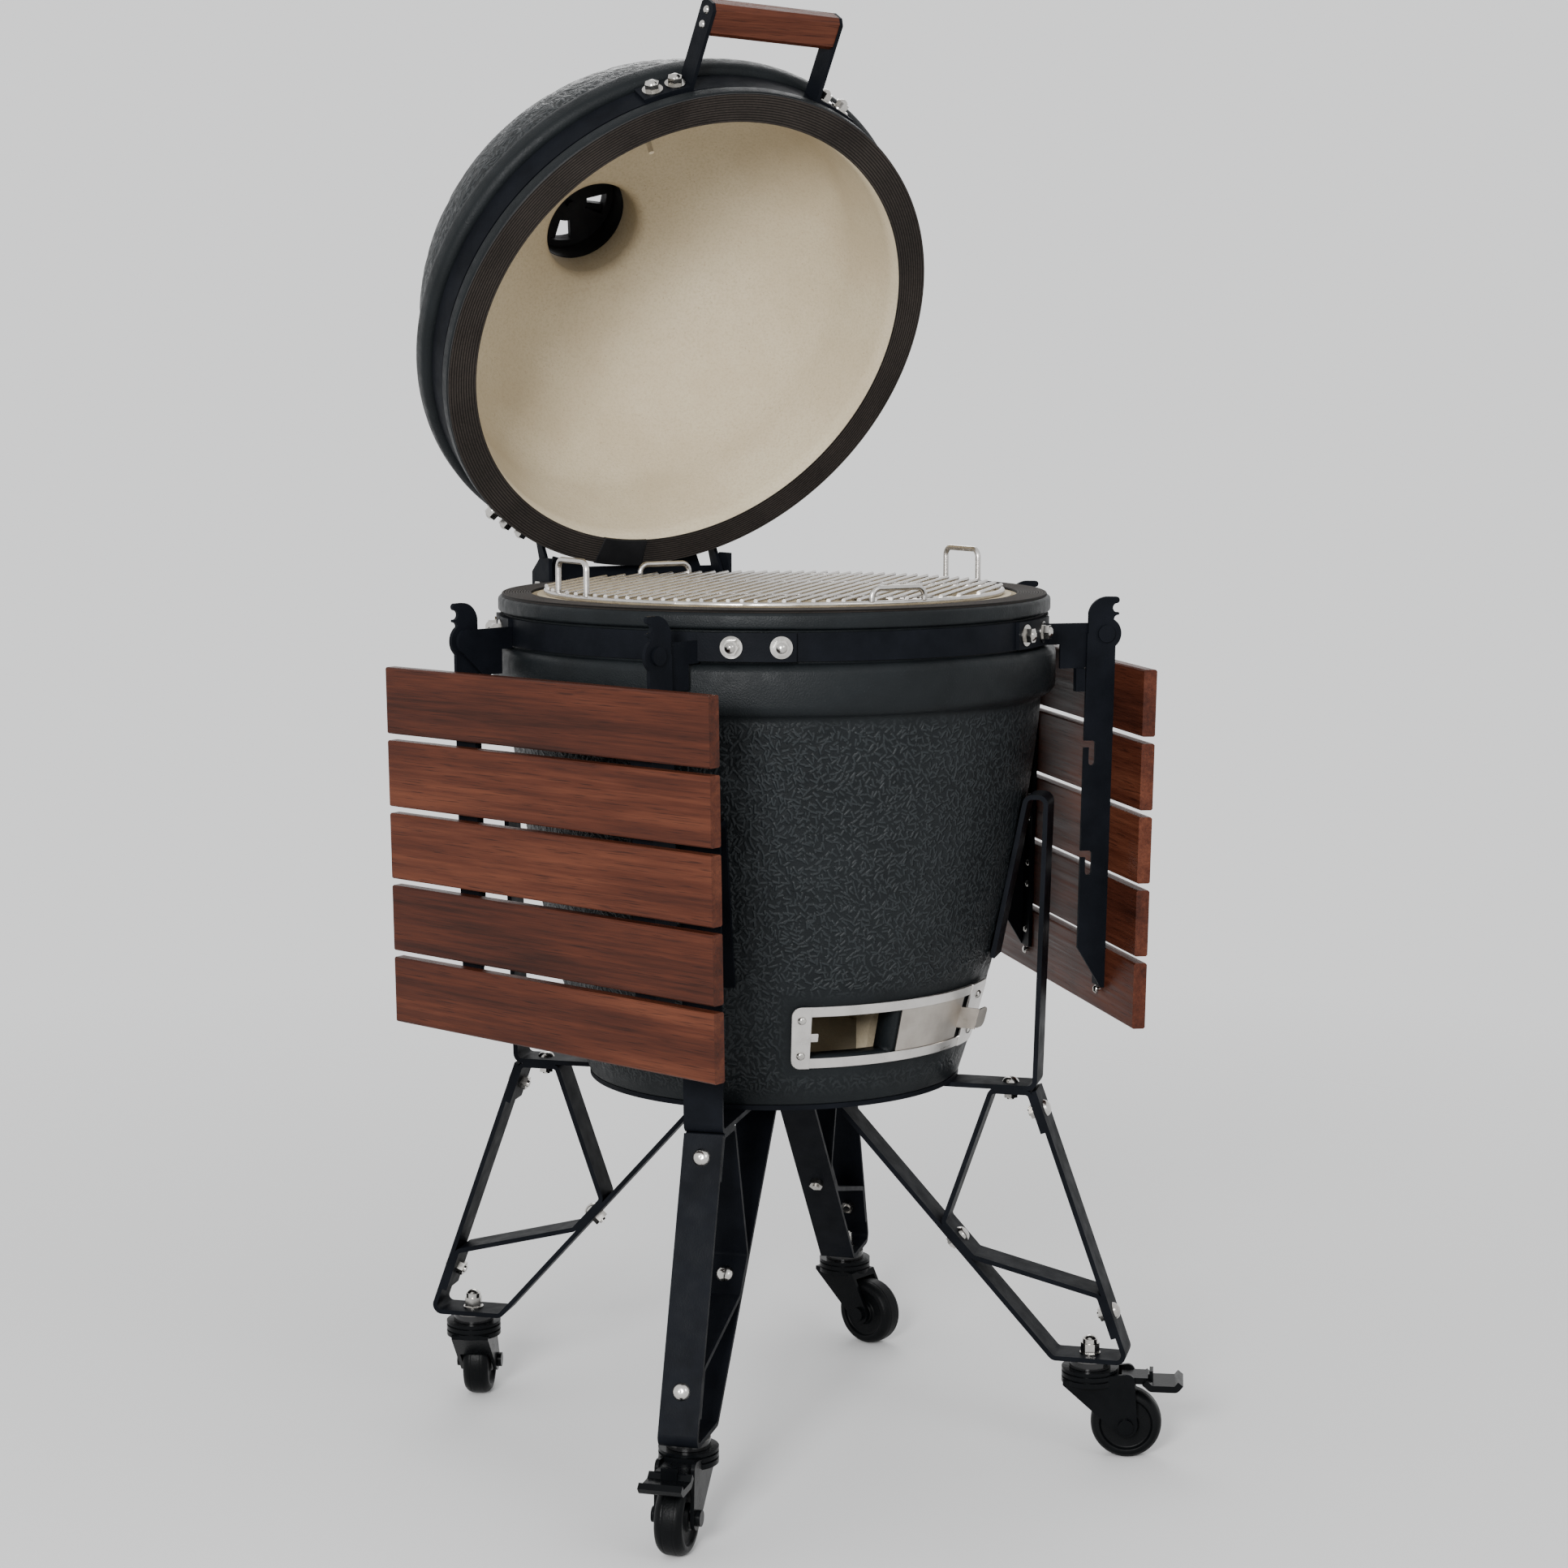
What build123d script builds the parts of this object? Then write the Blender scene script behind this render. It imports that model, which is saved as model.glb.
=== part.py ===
"""Ceramic kamado grill with its lid open, on a four-legged cart with casters and two folding side tables.

Millimetres, Z up, front towards -Y. Angles round the grill are counted from the front towards +X.
"""
import os
from math import atan2, cos, degrees, hypot, radians, sin, sqrt

from build123d import *

# Place of the grill's own axis, ahead of the middle of the whole object because the open lid reaches back
AXIS_Y = -92.0

# Bowl
BASE_Z = 405.0
BASE_R = 198.0
BELLY_R = 250.0
BELLY_Z = 600.0
NECK_R = 282.0
NECK_Z = 808.0
SHOULDER_R = 297.0
SHOULDER_RISE = 6.0
BOWL_WALL = 30.0
SEAT_DEPTH = 6.0
SEAT_LOW_Z = 862.0
SEAT_HEIGHT = 34.0
RIM_R = 291.0
RIM_HEIGHT = 16.0
MOUTH_R = 256.0
GASKET_T = 3.0
LID_GAP = 0.3

# Steel bands round bowl and lid
BAND_T = 4.0
BAND_H = 28.0

# Lid
LID_RIM_R = 288.4
LID_RIM_H = 16.0
LID_SEAT_H = 34.0
LID_SHOULDER_R = 295.0
LID_SHOULDER_H = 34.0
DOME_R = 273.0
DOME_RISE = 209.0
LID_WALL = 28.0
CHIMNEY_R = 56.0
NECK_WALL = 16.0
CHIMNEY_RISE = 14.0
OPEN_ANGLE = 61.3

# Lid hinge
HINGE_Y = 308.0
HINGE_Z = 903.0
PIN_R = 6.0
EAR_T = 4.0
EAR_R = 15.0
EAR_X = 116.0
EAR_GAP = 2.0
HINGE_SPAN = 27.0
HINGE_LID_SPAN = 40.0
HINGE_PLATE_Y = 331.0
HINGE_PLATE_Z = 922.0
HINGE_TOP_Z = 938.0
HINGE_WING_X = 92.0
HINGE_WING_EDGE = 6.0
HINGE_SADDLE_Z = 925.0

# Lid handle
HANDLE_TURN = 2.5
HANDLE_HALF = 76.0
STRAP_T = 4.0
STRAP_W = 26.0
GRIP_OUT = 369.0
GRIP_DEEP = 35.0
GRIP_H = 24.0
HANDLE_NUT_ANGLES = (18.4, 23.5)
HANDLE_FLANGE_END = 26.5

# Thermometer and chimney vent
DIAL_H = 252.0
DIAL_R = 27.0
DIAL_DEEP = 14.0
PROBE_R = 3.0
PROBE_LONG = 70.0
VENT_WALL = 7.0
VENT_H = 34.0
VENT_CAP_T = 6.0
VENT_SLOT_R = 12.5
VENT_SLOTS = 4
VENT_KNOB_R = 11.0

# Draft door low in the front of the bowl
DRAFT_LOW_Z = 446.0
DRAFT_HIGH_Z = 513.0
DRAFT_START = -26.5
DRAFT_END = 42.0
WINDOW_START = -21.5
WINDOW_END = 31.0
RAIL = 11.0
LIP = 5.0
HOLE_SPAN = 24.0
DOOR_START = 3.7
DOOR_END = 28.5
SHEET_T = 1.5
DRAFT_GAP = 0.8
DRAFT_PLATE_T = 2.0
TAB_OUT = 24.0
TAB_W = 20.0
TAB_H = 22.0

# Ceramic insides
INNER_GAP = 6.0
FIREBOX_FOOT_R = 150.0
FIREBOX_TOP_Z = 760.0
FIREBOX_WALL = 22.0
FIREBOX_FLOOR_Z = 530.0
FIREBOX_FLOOR_T = 15.0
FIREBOX_HOLE_R = 100.0
ARCH_W = 90.0
ARCH_H = 62.0
COAL_GRATE_R = 122.0
COAL_GRATE_T = 8.0
FIRE_RING_WALL = 20.0
FIRE_RING_TOP_Z = 913.0

# Cooking grate
GRATE_R = 240.0
GRATE_WIRE_R = 3.0
ROD_R = 2.0
ROD_PITCH = 13.6
ROD_TURN = 45.0
LOOP_HALF = 31.0
LOOP_TALL = 37.0
LOOP_LOW = 15.0
LOOP_BEND = 9.0
LOOP_IN = 0.6
LOOP_FOOT = 2.0
ROD_SINK = 0.5
CROSS_AT = 0.45

# Shares and small roundings of the fasteners, hems and ends
HEX = 6
BOLT_TAIL = 2.0
CROWN_SIDE = 0.7
CROWN_RISE = 0.72
SCREW_RISE = 0.75
NUT_DOME = 0.8
PIN_NUT = 1.7
BOWL_ROUNDS = [12, 9, 2, 2, 3, 4]
LID_ROUNDS = [3, 3, 2, 2, 9, 12]
GASKET_SET = 4.0
LID_GASKET_SET = 3.0
COAL_EDGE = 14.0
COAL_ROWS = 4
SHEET_GAP = 0.5
RAIL_SCREW = 1.3
TAB_ROUND = 6.0
HINGE_NUT_SHARES = (-0.62, -0.25, 0.25, 0.62)
LID_NUT_SHARES = (0.68, 0.8, 0.92)
PROBE_CLEAR = 2.0
EAR_BACK = 0.65
EAR_RISE = 1.6
VENT_RING = 0.62
KNOB_NECK = 0.6
STEM_END = 4.0
STOP_SET = 2.2
PIN_LAND = 3.0
CLAW_SIDE = 0.62
CLAW_RISE = 0.88
HOOK_SLOT = 0.8
HOOK_DROP = 0.4
HOOK_MOUTH = 1.2

# Cart of flat bar
BAR_W = 40.0
BAR_T = 5.0
PLATE_T = 5.0
LEG_ANGLES = {"front_right": 45.0, "rear_right": 135.0, "rear_left": 225.0, "front_left": 315.0}
ARM_IN_R = 100.0
UPRIGHT_R = 286.5
UPRIGHT_TOP_R = 295.5
HAIRPIN_Z = 706.0
HAIRPIN_W = 21.0
PAD_LOW_Z = 535.0
PAD_GAP = 0.6
LEG_TOP_R = 285.6
LEG_FOOT_R = 387.5
FOOT_IN_R = 309.0
CASTER_H = 105.0
DIAGONAL_TOP_R = 48.0
DIAGONAL_END_R = 23.0
BEND_R = 8.0
BRACE_BEND_R = 6.0
BRACE_TOP_END_Z = 350.0
BRACE_IN_R = 240.0
BRACE_ELBOW_R = 190.0
BRACE_TURN_R = 222.0
BRACE_OUT_Z = 178.0
BRACE_LOW_END_Z = 133.0

# Fasteners
BOLT_R = 4.0
HOLE_GAP = 0.1
HEAD_R = 9.0
HEAD_H = 5.0
NUT_R = 8.0
NUT_H = 7.0
WASHER_R = 11.0
WASHER_T = 1.5
SCREW_R = 4.5
SCREW_H = 2.5

# Casters
STEM_R = 346.0
WHEEL_R = 37.5
WHEEL_W = 29.0
WHEEL_TYRE_R = 28.0
WHEEL_HUB_R = 13.0
WHEEL_DISH = 4.0
WHEEL_CROWN = 8.0
WHEEL_EDGE = 1.0
TRAIL = 39.0
STEM_BOLT_R = 5.0
STEM_RACE_R = 22.0
STEM_NUT_R = 10.0
STEM_NUT_H = 10.0
STEM_CAP_R = 8.0
STEM_CAP_H = 5.0
AXLE_R = 4.0
RUNNING_GAP = 0.05
CHEEK_T = 4.0
CHEEK_GAP = 2.0
ROOF_GAP = 3.0
AXLE_NUT_H = 4.5
HEAD_DISC_R = 30.0
HEAD_DISC_H = 16.0
HEAD_LOW_Z = 80.0
HEAD_GROOVE = 2.0
HEAD_GROOVES = (85.0, 91.0)
SWIVEL_GAP = 0.4
PEDAL_T = 7.0
PEDAL_PIN_R = 3.0
PEDAL_OUT = 96.0
PEDAL_BACK_X = 34.0
PEDAL_STEP_X = 58.0
PEDAL_STEP = 6.0
PEDAL_TIP_X = 91.0
PEDAL_TIP_RISE = 6.0
PEDAL_W = 44.0
PEDAL_FIN_T = 4.0
PEDAL_FIN_H = 8.0
PEDAL_PIVOT_X = 40.0
PEDAL_PIVOT_Z = 86.0
CASTER_TURNS = {"front_right": 52.0, "rear_right": 18.0, "rear_left": 145.0, "front_left": -46.0}
BRAKED = ("front_right", "front_left")

# Side tables
TABLE_ANGLE = 72.5
TABLE_LEAN = 1.2
PIVOT_N = 322.0
PIVOT_Z = 874.0
PIVOT_R = 5.0
SLAT_COUNT = 5
SLAT_LONG = 451.0
SLAT_H = 68.5
SLAT_PITCH = 75.6
SLAT_T = 14.0
SLAT_IN_X = 11.0
SLAT_EASE = 1.5
SLAT_TOP_Z = -30.0
ARM_S = 135.0
ARM_T = 4.0
ARM_BACK_X = -20.0
ARM_DISC_R = 17.0
ARM_FLANGE_W = 24.0
ARM_TIP_Z = -374.0
ARM_SHOULDER_Z = -331.0
CLAW_TOP_Z = 38.5
CLAW_TIP_X = 14.0
CLAW_TIP_T = 7.0
CLAW_BACK_Z = 22.0
CLAW_NOTCH_Z = 26.0
CLAW_TOOTH_Z = 21.0
CLAW_TOOTH_H = 3.0
CLAW_HEEL_Z = 11.0
HOOK_TOPS = (-112.0, -228.0)
HOOK_DEEP = 9.0
HOOK_TALL = 26.0
SCREW_PAIR = 24.0
BRACKET_T = 4.0
BRACKET_GAP = 0.5
BRACKET_TOP_Z = 885.0
BRACKET_LOW_Z = 838.0
BRACKET_CLEAR = 6.0
FLANGE_SWEEP = 19.0
FLANGE_NUTS = (6.6, 16.1)

# Worked-out places
SEAT_HIGH_Z = SEAT_LOW_Z + SEAT_HEIGHT
CERAMIC_TOP_Z = SEAT_HIGH_Z + RIM_HEIGHT
RIM_Z = CERAMIC_TOP_Z + GASKET_T
SEAT_R = RIM_R - SEAT_DEPTH
BAND_OUT_R = SEAT_R + BAND_T
BAND_MID_Z = SEAT_LOW_Z + SEAT_HEIGHT / 2
FLOOR_Z = BASE_Z + BOWL_WALL
LID_Z = RIM_Z + LID_GAP
LID_CERAMIC_Z = LID_Z + GASKET_T
LID_SEAT_Z = LID_CERAMIC_Z + LID_RIM_H
LID_SEAT_R = LID_RIM_R - SEAT_DEPTH
LID_BAND_R = LID_SEAT_R + BAND_T
LID_BAND_Z = LID_SEAT_Z + LID_SEAT_H / 2
LID_SHOULDER_Z = LID_SEAT_Z + LID_SEAT_H
DOME_Z = LID_SHOULDER_Z + LID_SHOULDER_H
DOME_TOP_Z = DOME_Z + DOME_RISE
ARM_Z = BASE_Z - PLATE_T - BAR_T / 2
FOOT_Z = CASTER_H + BAR_T / 2

HOME = Location((0, AXIS_Y, 0))
LID_OPEN = (
    HOME
    * Location((0, HINGE_Y, HINGE_Z))
    * Location((0, 0, 0), (-OPEN_ANGLE, 0, 0))
    * Location((0, -HINGE_Y, -HINGE_Z))
)

os.makedirs("parts", exist_ok=True)


def write(part, label, place=HOME):
    """Label a finished piece, carry it to its place in the grill and write its STEP file."""
    piece = place * part
    piece.label = label
    export_step(piece, f"parts/{label}.step")


def outward(angle):
    """Unit vector away from the grill's axis, at an angle from the front."""
    return Vector(sin(radians(angle)), -cos(radians(angle)), 0)


def upright(angle):
    """Plane through the grill's axis, x outward at an angle from the front, y up."""
    out = outward(angle)
    return Plane(origin=(0, 0, 0), x_dir=out, z_dir=out.cross(Vector(0, 0, 1)))


def circle_through(first, second, third):
    """Centre and radius of the circle through three points of a profile."""
    (ax, ay), (bx, by), (cx, cy) = first, second, third
    d = 2 * (ax * (by - cy) + bx * (cy - ay) + cx * (ay - by))
    a2, b2, c2 = ax * ax + ay * ay, bx * bx + by * by, cx * cx + cy * cy
    ux = (a2 * (by - cy) + b2 * (cy - ay) + c2 * (ay - by)) / d
    uy = (a2 * (cx - bx) + b2 * (ax - cx) + c2 * (bx - ax)) / d
    return ux, uy, hypot(ax - ux, ay - uy)


def bowl_radius(height):
    """Outer radius of the bowl's wall at a height between its foot and its neck."""
    ux, uy, radius = circle_through((BASE_R, BASE_Z), (BELLY_R, BELLY_Z), (NECK_R, NECK_Z))
    return ux + sqrt(radius**2 - (height - uy) ** 2)


def cavity_radius(height):
    """Inner radius of the bowl at a height."""
    return min(MOUTH_R, bowl_radius(min(height, NECK_Z)) - BOWL_WALL)


def sector(start, span, corners):
    """Solid swept round the grill's axis from a closed outline of (radius, height) corners."""
    with BuildPart() as piece:
        with BuildSketch(upright(start)):
            with BuildLine():
                Polyline(*corners, close=True)
            make_face()
        revolve(axis=Axis.Z, revolution_arc=span)
    return piece.part


def ring_corners(inner, outer, low, high):
    """Corners of a plain ring's section."""
    return (inner, low), (outer, low), (outer, high), (inner, high)


def leg_place(angle, radius, height, out=0.0, up=1.0):
    """Place on a leg's middle plane with its z along (out, up)."""
    way = outward(angle)
    origin = way * radius + Vector(0, 0, height)
    return Plane(origin=origin, z_dir=way * out + Vector(0, 0, up)).location


def bolt(grip):
    """Domed bolt along z with its head's seat at 0, and its nut below what it clamps."""
    end = -grip - NUT_H - BOLT_TAIL
    with BuildPart() as piece:
        with BuildSketch(Plane.XZ):
            with BuildLine():
                ThreePointArc((0, HEAD_H), (HEAD_R * CROWN_SIDE, HEAD_H * CROWN_RISE), (HEAD_R, 0))
                Polyline((HEAD_R, 0), (BOLT_R, 0), (BOLT_R, end), (0, end), (0, HEAD_H))
            make_face()
        revolve(axis=Axis.Z)
        with BuildSketch(Plane.XY.offset(-grip - NUT_H)):
            RegularPolygon(NUT_R, HEX)
        extrude(amount=NUT_H)
    return piece.part


def acorn(depth):
    """Acorn nut on a washer along z with its seat at 0, and its stud reaching down."""
    with BuildPart() as piece:
        Cylinder(WASHER_R, WASHER_T, align=(Align.CENTER, Align.CENTER, Align.MIN))
        with BuildSketch(Plane.XY.offset(WASHER_T)):
            RegularPolygon(NUT_R, HEX)
        extrude(amount=NUT_H)
        with Locations((0, 0, WASHER_T + NUT_H)):
            Sphere(NUT_R * NUT_DOME, arc_size1=0)
        with Locations((0, 0, WASHER_T)):
            Cylinder(BOLT_R, depth + WASHER_T, align=(Align.CENTER, Align.CENTER, Align.MAX))
    return piece.part


def screw(long):
    """Pan-head screw along z with its head's seat at 0."""
    with BuildPart() as piece:
        with BuildSketch(Plane.XZ):
            with BuildLine():
                ThreePointArc((0, SCREW_H), (SCREW_R * CROWN_SIDE, SCREW_H * SCREW_RISE), (SCREW_R, 0))
                Polyline((SCREW_R, 0), (SCREW_R / 2, 0), (SCREW_R / 2, -long), (0, -long), (0, SCREW_H))
            make_face()
        revolve(axis=Axis.Z)
    return piece.part


def group(parts):
    """One node that holds several separate solids."""
    with BuildPart() as holder:
        for part in parts:
            add(part)
    return holder.part


# Bowl of thick ceramic, with the rim, the band's seat, the shoulder and the draft hole
INNER_BELLY_R = BELLY_R - BOWL_WALL
HOLE_LOW_Z = DRAFT_LOW_Z + RAIL
HOLE_HIGH_Z = DRAFT_HIGH_Z - RAIL
with BuildPart() as bowl:
    with BuildSketch(Plane.XZ):
        with BuildLine():
            Line((0, BASE_Z), (BASE_R, BASE_Z))
            ThreePointArc((BASE_R, BASE_Z), (BELLY_R, BELLY_Z), (NECK_R, NECK_Z))
            FilletPolyline(
                (NECK_R, NECK_Z),
                (SHOULDER_R, NECK_Z + SHOULDER_RISE),
                (SHOULDER_R, SEAT_LOW_Z),
                (SEAT_R, SEAT_LOW_Z),
                (SEAT_R, SEAT_HIGH_Z),
                (RIM_R, SEAT_HIGH_Z),
                (RIM_R, CERAMIC_TOP_Z),
                (MOUTH_R, CERAMIC_TOP_Z),
                radius=BOWL_ROUNDS,
            )
            Line((MOUTH_R, CERAMIC_TOP_Z), (MOUTH_R, NECK_Z))
            ThreePointArc(
                (MOUTH_R, NECK_Z), (INNER_BELLY_R, BELLY_Z), (cavity_radius(FLOOR_Z), FLOOR_Z)
            )
            Polyline((cavity_radius(FLOOR_Z), FLOOR_Z), (0, FLOOR_Z), (0, BASE_Z))
        make_face()
    revolve(axis=Axis.Z)
    with BuildSketch(upright(WINDOW_START)):
        with Locations((BASE_R, (HOLE_LOW_Z + HOLE_HIGH_Z) / 2)):
            Rectangle(4 * BOWL_WALL, HOLE_HIGH_Z - HOLE_LOW_Z)
    revolve(axis=Axis.Z, revolution_arc=HOLE_SPAN, mode=Mode.SUBTRACT)
write(bowl.part, "bowl")

bowl_gasket = sector(0, 360, ring_corners(MOUTH_R, RIM_R - GASKET_SET, CERAMIC_TOP_Z, RIM_Z))
write(bowl_gasket, "bowl_gasket")

# Ceramic insides: firebox on the floor, fire ring on the firebox, cast grate for the charcoal
FIREBOX_TOP_R = cavity_radius(FIREBOX_TOP_Z) - INNER_GAP
LEDGE_Z = FIREBOX_FLOOR_Z + FIREBOX_FLOOR_T


def firebox_radius(height):
    """Outer radius of the tapered firebox at a height."""
    share = (height - FLOOR_Z) / (FIREBOX_TOP_Z - FLOOR_Z)
    return FIREBOX_FOOT_R + share * (FIREBOX_TOP_R - FIREBOX_FOOT_R)


with BuildPart() as firebox:
    with BuildSketch(Plane.XZ):
        with BuildLine():
            Polyline(
                (FIREBOX_FOOT_R, FLOOR_Z),
                (FIREBOX_TOP_R, FIREBOX_TOP_Z),
                (FIREBOX_TOP_R - FIREBOX_WALL, FIREBOX_TOP_Z),
                (firebox_radius(LEDGE_Z) - FIREBOX_WALL, LEDGE_Z),
                (FIREBOX_HOLE_R, LEDGE_Z),
                (FIREBOX_HOLE_R, FIREBOX_FLOOR_Z),
                (FIREBOX_FOOT_R - FIREBOX_WALL, FIREBOX_FLOOR_Z),
                (FIREBOX_FOOT_R - FIREBOX_WALL, FLOOR_Z),
                close=True,
            )
        make_face()
    revolve(axis=Axis.Z)
    for quarter in range(4):
        with BuildSketch(upright(WINDOW_START + HOLE_SPAN / 2 + 90 * quarter).offset(-ARCH_W / 2)):
            with Locations((FIREBOX_FOOT_R, FLOOR_Z + ARCH_H / 2)):
                Rectangle(3 * FIREBOX_WALL, ARCH_H)
        extrude(amount=ARCH_W, mode=Mode.SUBTRACT)
write(firebox.part, "firebox")

RING_LOW_R = FIREBOX_TOP_R
RING_HIGH_R = MOUTH_R - INNER_GAP
fire_ring = sector(
    0,
    360,
    (
        (RING_LOW_R - FIRE_RING_WALL, FIREBOX_TOP_Z),
        (RING_LOW_R, FIREBOX_TOP_Z),
        (RING_HIGH_R, FIRE_RING_TOP_Z),
        (RING_HIGH_R - FIRE_RING_WALL, FIRE_RING_TOP_Z),
    ),
)
write(fire_ring, "fire_ring")

COAL_SLOT_PITCH = 22.0
COAL_SLOT_W = 10.0
with BuildPart() as charcoal_grate:
    with BuildSketch(Plane.XY.offset(LEDGE_Z)):
        Circle(COAL_GRATE_R)
        for row in range(-COAL_ROWS, COAL_ROWS + 1):
            chord = sqrt((COAL_GRATE_R - COAL_EDGE) ** 2 - (row * COAL_SLOT_PITCH) ** 2)
            with Locations((0, row * COAL_SLOT_PITCH)):
                SlotOverall(2 * chord, COAL_SLOT_W, mode=Mode.SUBTRACT)
    extrude(amount=COAL_GRATE_T)
write(charcoal_grate.part, "charcoal_grate")

# Cooking grate: a ring with rods welded on top, two cross bars and four lifting loops
RING_MID_Z = FIRE_RING_TOP_Z + LID_GAP + GRATE_WIRE_R
ROD_Z = RING_MID_Z + GRATE_WIRE_R + ROD_R * ROD_SINK
ROD_COUNT = int(GRATE_R / ROD_PITCH)


def lifting_loop(angle, tall):
    """Bent wire loop standing on the grate's ring, its feet cut to the ring they are welded on."""
    side = Plane(
        origin=outward(angle) * (GRATE_R - LOOP_IN) + Vector(0, 0, RING_MID_Z),
        x_dir=Vector(cos(radians(angle)), sin(radians(angle)), 0),
        z_dir=outward(angle) * -1,
    )
    up = side.y_dir.Z
    with BuildPart() as piece:
        with BuildLine(side) as path:
            FilletPolyline(
                (-LOOP_HALF, up * LOOP_FOOT),
                (-LOOP_HALF, up * tall),
                (LOOP_HALF, up * tall),
                (LOOP_HALF, up * LOOP_FOOT),
                radius=LOOP_BEND,
            )
        with BuildSketch(Plane(origin=path.line @ 0, z_dir=path.line % 0)):
            Circle(GRATE_WIRE_R)
        sweep()
    return piece.part


with BuildPart() as cooking_grate:
    with BuildSketch(Plane.XZ):
        with Locations((GRATE_R, RING_MID_Z)):
            Circle(GRATE_WIRE_R)
    revolve(axis=Axis.Z)
    for row in range(-ROD_COUNT, ROD_COUNT + 1):
        reach = sqrt(GRATE_R**2 - (row * ROD_PITCH) ** 2) + GRATE_WIRE_R * ROD_SINK
        turn = Location((0, 0, ROD_Z), (0, 0, ROD_TURN))
        with Locations(turn * Location((0, row * ROD_PITCH, 0), (0, 90, 0))):
            Cylinder(ROD_R, 2 * reach)
    for cross in (-CROSS_AT, CROSS_AT):
        reach = GRATE_R * sqrt(1 - cross**2)
        turn = Location((0, 0, RING_MID_Z), (0, 0, ROD_TURN))
        with Locations(turn * Location((cross * GRATE_R, 0, 0), (90, 0, 0))):
            Cylinder(GRATE_WIRE_R, 2 * reach)

lifting_loops = []
for angle, tall in ((90, LOOP_TALL), (270, LOOP_TALL), (0, LOOP_LOW), (180, LOOP_LOW)):
    with BuildPart() as loop:
        add(lifting_loop(angle, tall))
        add(cooking_grate.part, mode=Mode.SUBTRACT)
    lifting_loops.append(loop.part.solids().sort_by(SortBy.VOLUME)[-1])
write(Compound([cooking_grate.part.solid(), *lifting_loops]), "cooking_grate")


# Draft frame, its sliding sheet and its screws follow the bowl's slope
def draft_corners(low, high, near, far):
    """Section of a sheet that lies between two distances off the bowl's wall."""
    low_r, high_r = bowl_radius(low), bowl_radius(high)
    return (low_r + near, low), (low_r + far, low), (high_r + far, high), (high_r + near, high)


DOOR_NEAR = DRAFT_GAP + SHEET_GAP
DOOR_FAR = DOOR_NEAR + SHEET_T
PLATE_NEAR = DOOR_FAR + SHEET_GAP
PLATE_FAR = PLATE_NEAR + DRAFT_PLATE_T
DRAFT_SPAN = DRAFT_END - DRAFT_START
DRAFT_SLOPE = (bowl_radius(DRAFT_HIGH_Z) - bowl_radius(DRAFT_LOW_Z)) / (DRAFT_HIGH_Z - DRAFT_LOW_Z)
DRAFT_SCREWS = [
    leg_place(angle, bowl_radius(height) + PLATE_FAR, height, 1.0, -DRAFT_SLOPE)
    for angle in ((DRAFT_START + WINDOW_START) / 2, (DRAFT_END + WINDOW_END) / 2)
    for height in (DRAFT_LOW_Z + RAIL_SCREW * RAIL, DRAFT_HIGH_Z - RAIL_SCREW * RAIL)
]
with BuildPart() as draft_frame:
    add(sector(DRAFT_START, DRAFT_SPAN, draft_corners(DRAFT_LOW_Z, DRAFT_HIGH_Z, PLATE_NEAR, PLATE_FAR)))
    for low, high in ((DRAFT_LOW_Z, DRAFT_LOW_Z + LIP), (DRAFT_HIGH_Z - LIP, DRAFT_HIGH_Z)):
        add(sector(DRAFT_START, DRAFT_SPAN, draft_corners(low, high, DRAFT_GAP, PLATE_FAR)))
    window = draft_corners(HOLE_LOW_Z, HOLE_HIGH_Z, 0, 2 * PLATE_FAR)
    add(sector(WINDOW_START, WINDOW_END - WINDOW_START, window), mode=Mode.SUBTRACT)
    with Locations(*DRAFT_SCREWS):
        Cylinder(SCREW_R / 2 + HOLE_GAP, 4 * PLATE_FAR, mode=Mode.SUBTRACT)
write(draft_frame.part, "draft_frame")

DOOR_LOW_Z = DRAFT_LOW_Z + LIP + SHEET_GAP
DOOR_HIGH_Z = DRAFT_HIGH_Z - LIP - SHEET_GAP
with BuildPart() as draft_door:
    door_section = draft_corners(DOOR_LOW_Z, DOOR_HIGH_Z, DOOR_NEAR, DOOR_FAR)
    add(sector(DOOR_START, DOOR_END - DOOR_START, door_section))
    tab_mid = (DOOR_LOW_Z + DOOR_HIGH_Z) / 2
    with BuildSketch(upright(DOOR_END)):
        with BuildLine():
            tab_section = draft_corners(tab_mid - TAB_H / 2, tab_mid + TAB_H / 2, DOOR_NEAR, TAB_OUT)
            Polyline(*tab_section, close=True)
        make_face()
    extrude(amount=SHEET_T)
    tab_plane = Plane(
        origin=outward(DOOR_END) * (bowl_radius(tab_mid) + TAB_OUT) + Vector(0, 0, tab_mid),
        x_dir=Vector(cos(radians(DOOR_END)), sin(radians(DOOR_END)), 0),
        z_dir=outward(DOOR_END) - Vector(0, 0, DRAFT_SLOPE),
    )
    with BuildSketch(tab_plane):
        with Locations((TAB_W / 2 - SHEET_T, 0)):
            RectangleRounded(TAB_W, TAB_H, TAB_ROUND)
    extrude(amount=-SHEET_T)
write(draft_door.part, "draft_door")

draft_screw = screw(PLATE_FAR - DRAFT_GAP)
write(group(place * draft_screw for place in DRAFT_SCREWS), "draft_screws")

# Bands and the flanges that bolt to them, in the grooves of bowl and lid
FLANGE_R = BAND_OUT_R + BRACKET_T
BAND_LOW_Z = BAND_MID_Z - BAND_H / 2
LID_FLANGE_R = LID_BAND_R + BRACKET_T
LID_BAND_LOW_Z = LID_BAND_Z - BAND_H / 2
PLATE_S = ARM_S - ARM_T / 2 - BRACKET_GAP - BRACKET_T / 2
BRACKET_SIDES = {"right": 1, "left": -1}
BRACKET_ENDS = {"front": -1, "rear": 1}


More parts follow.
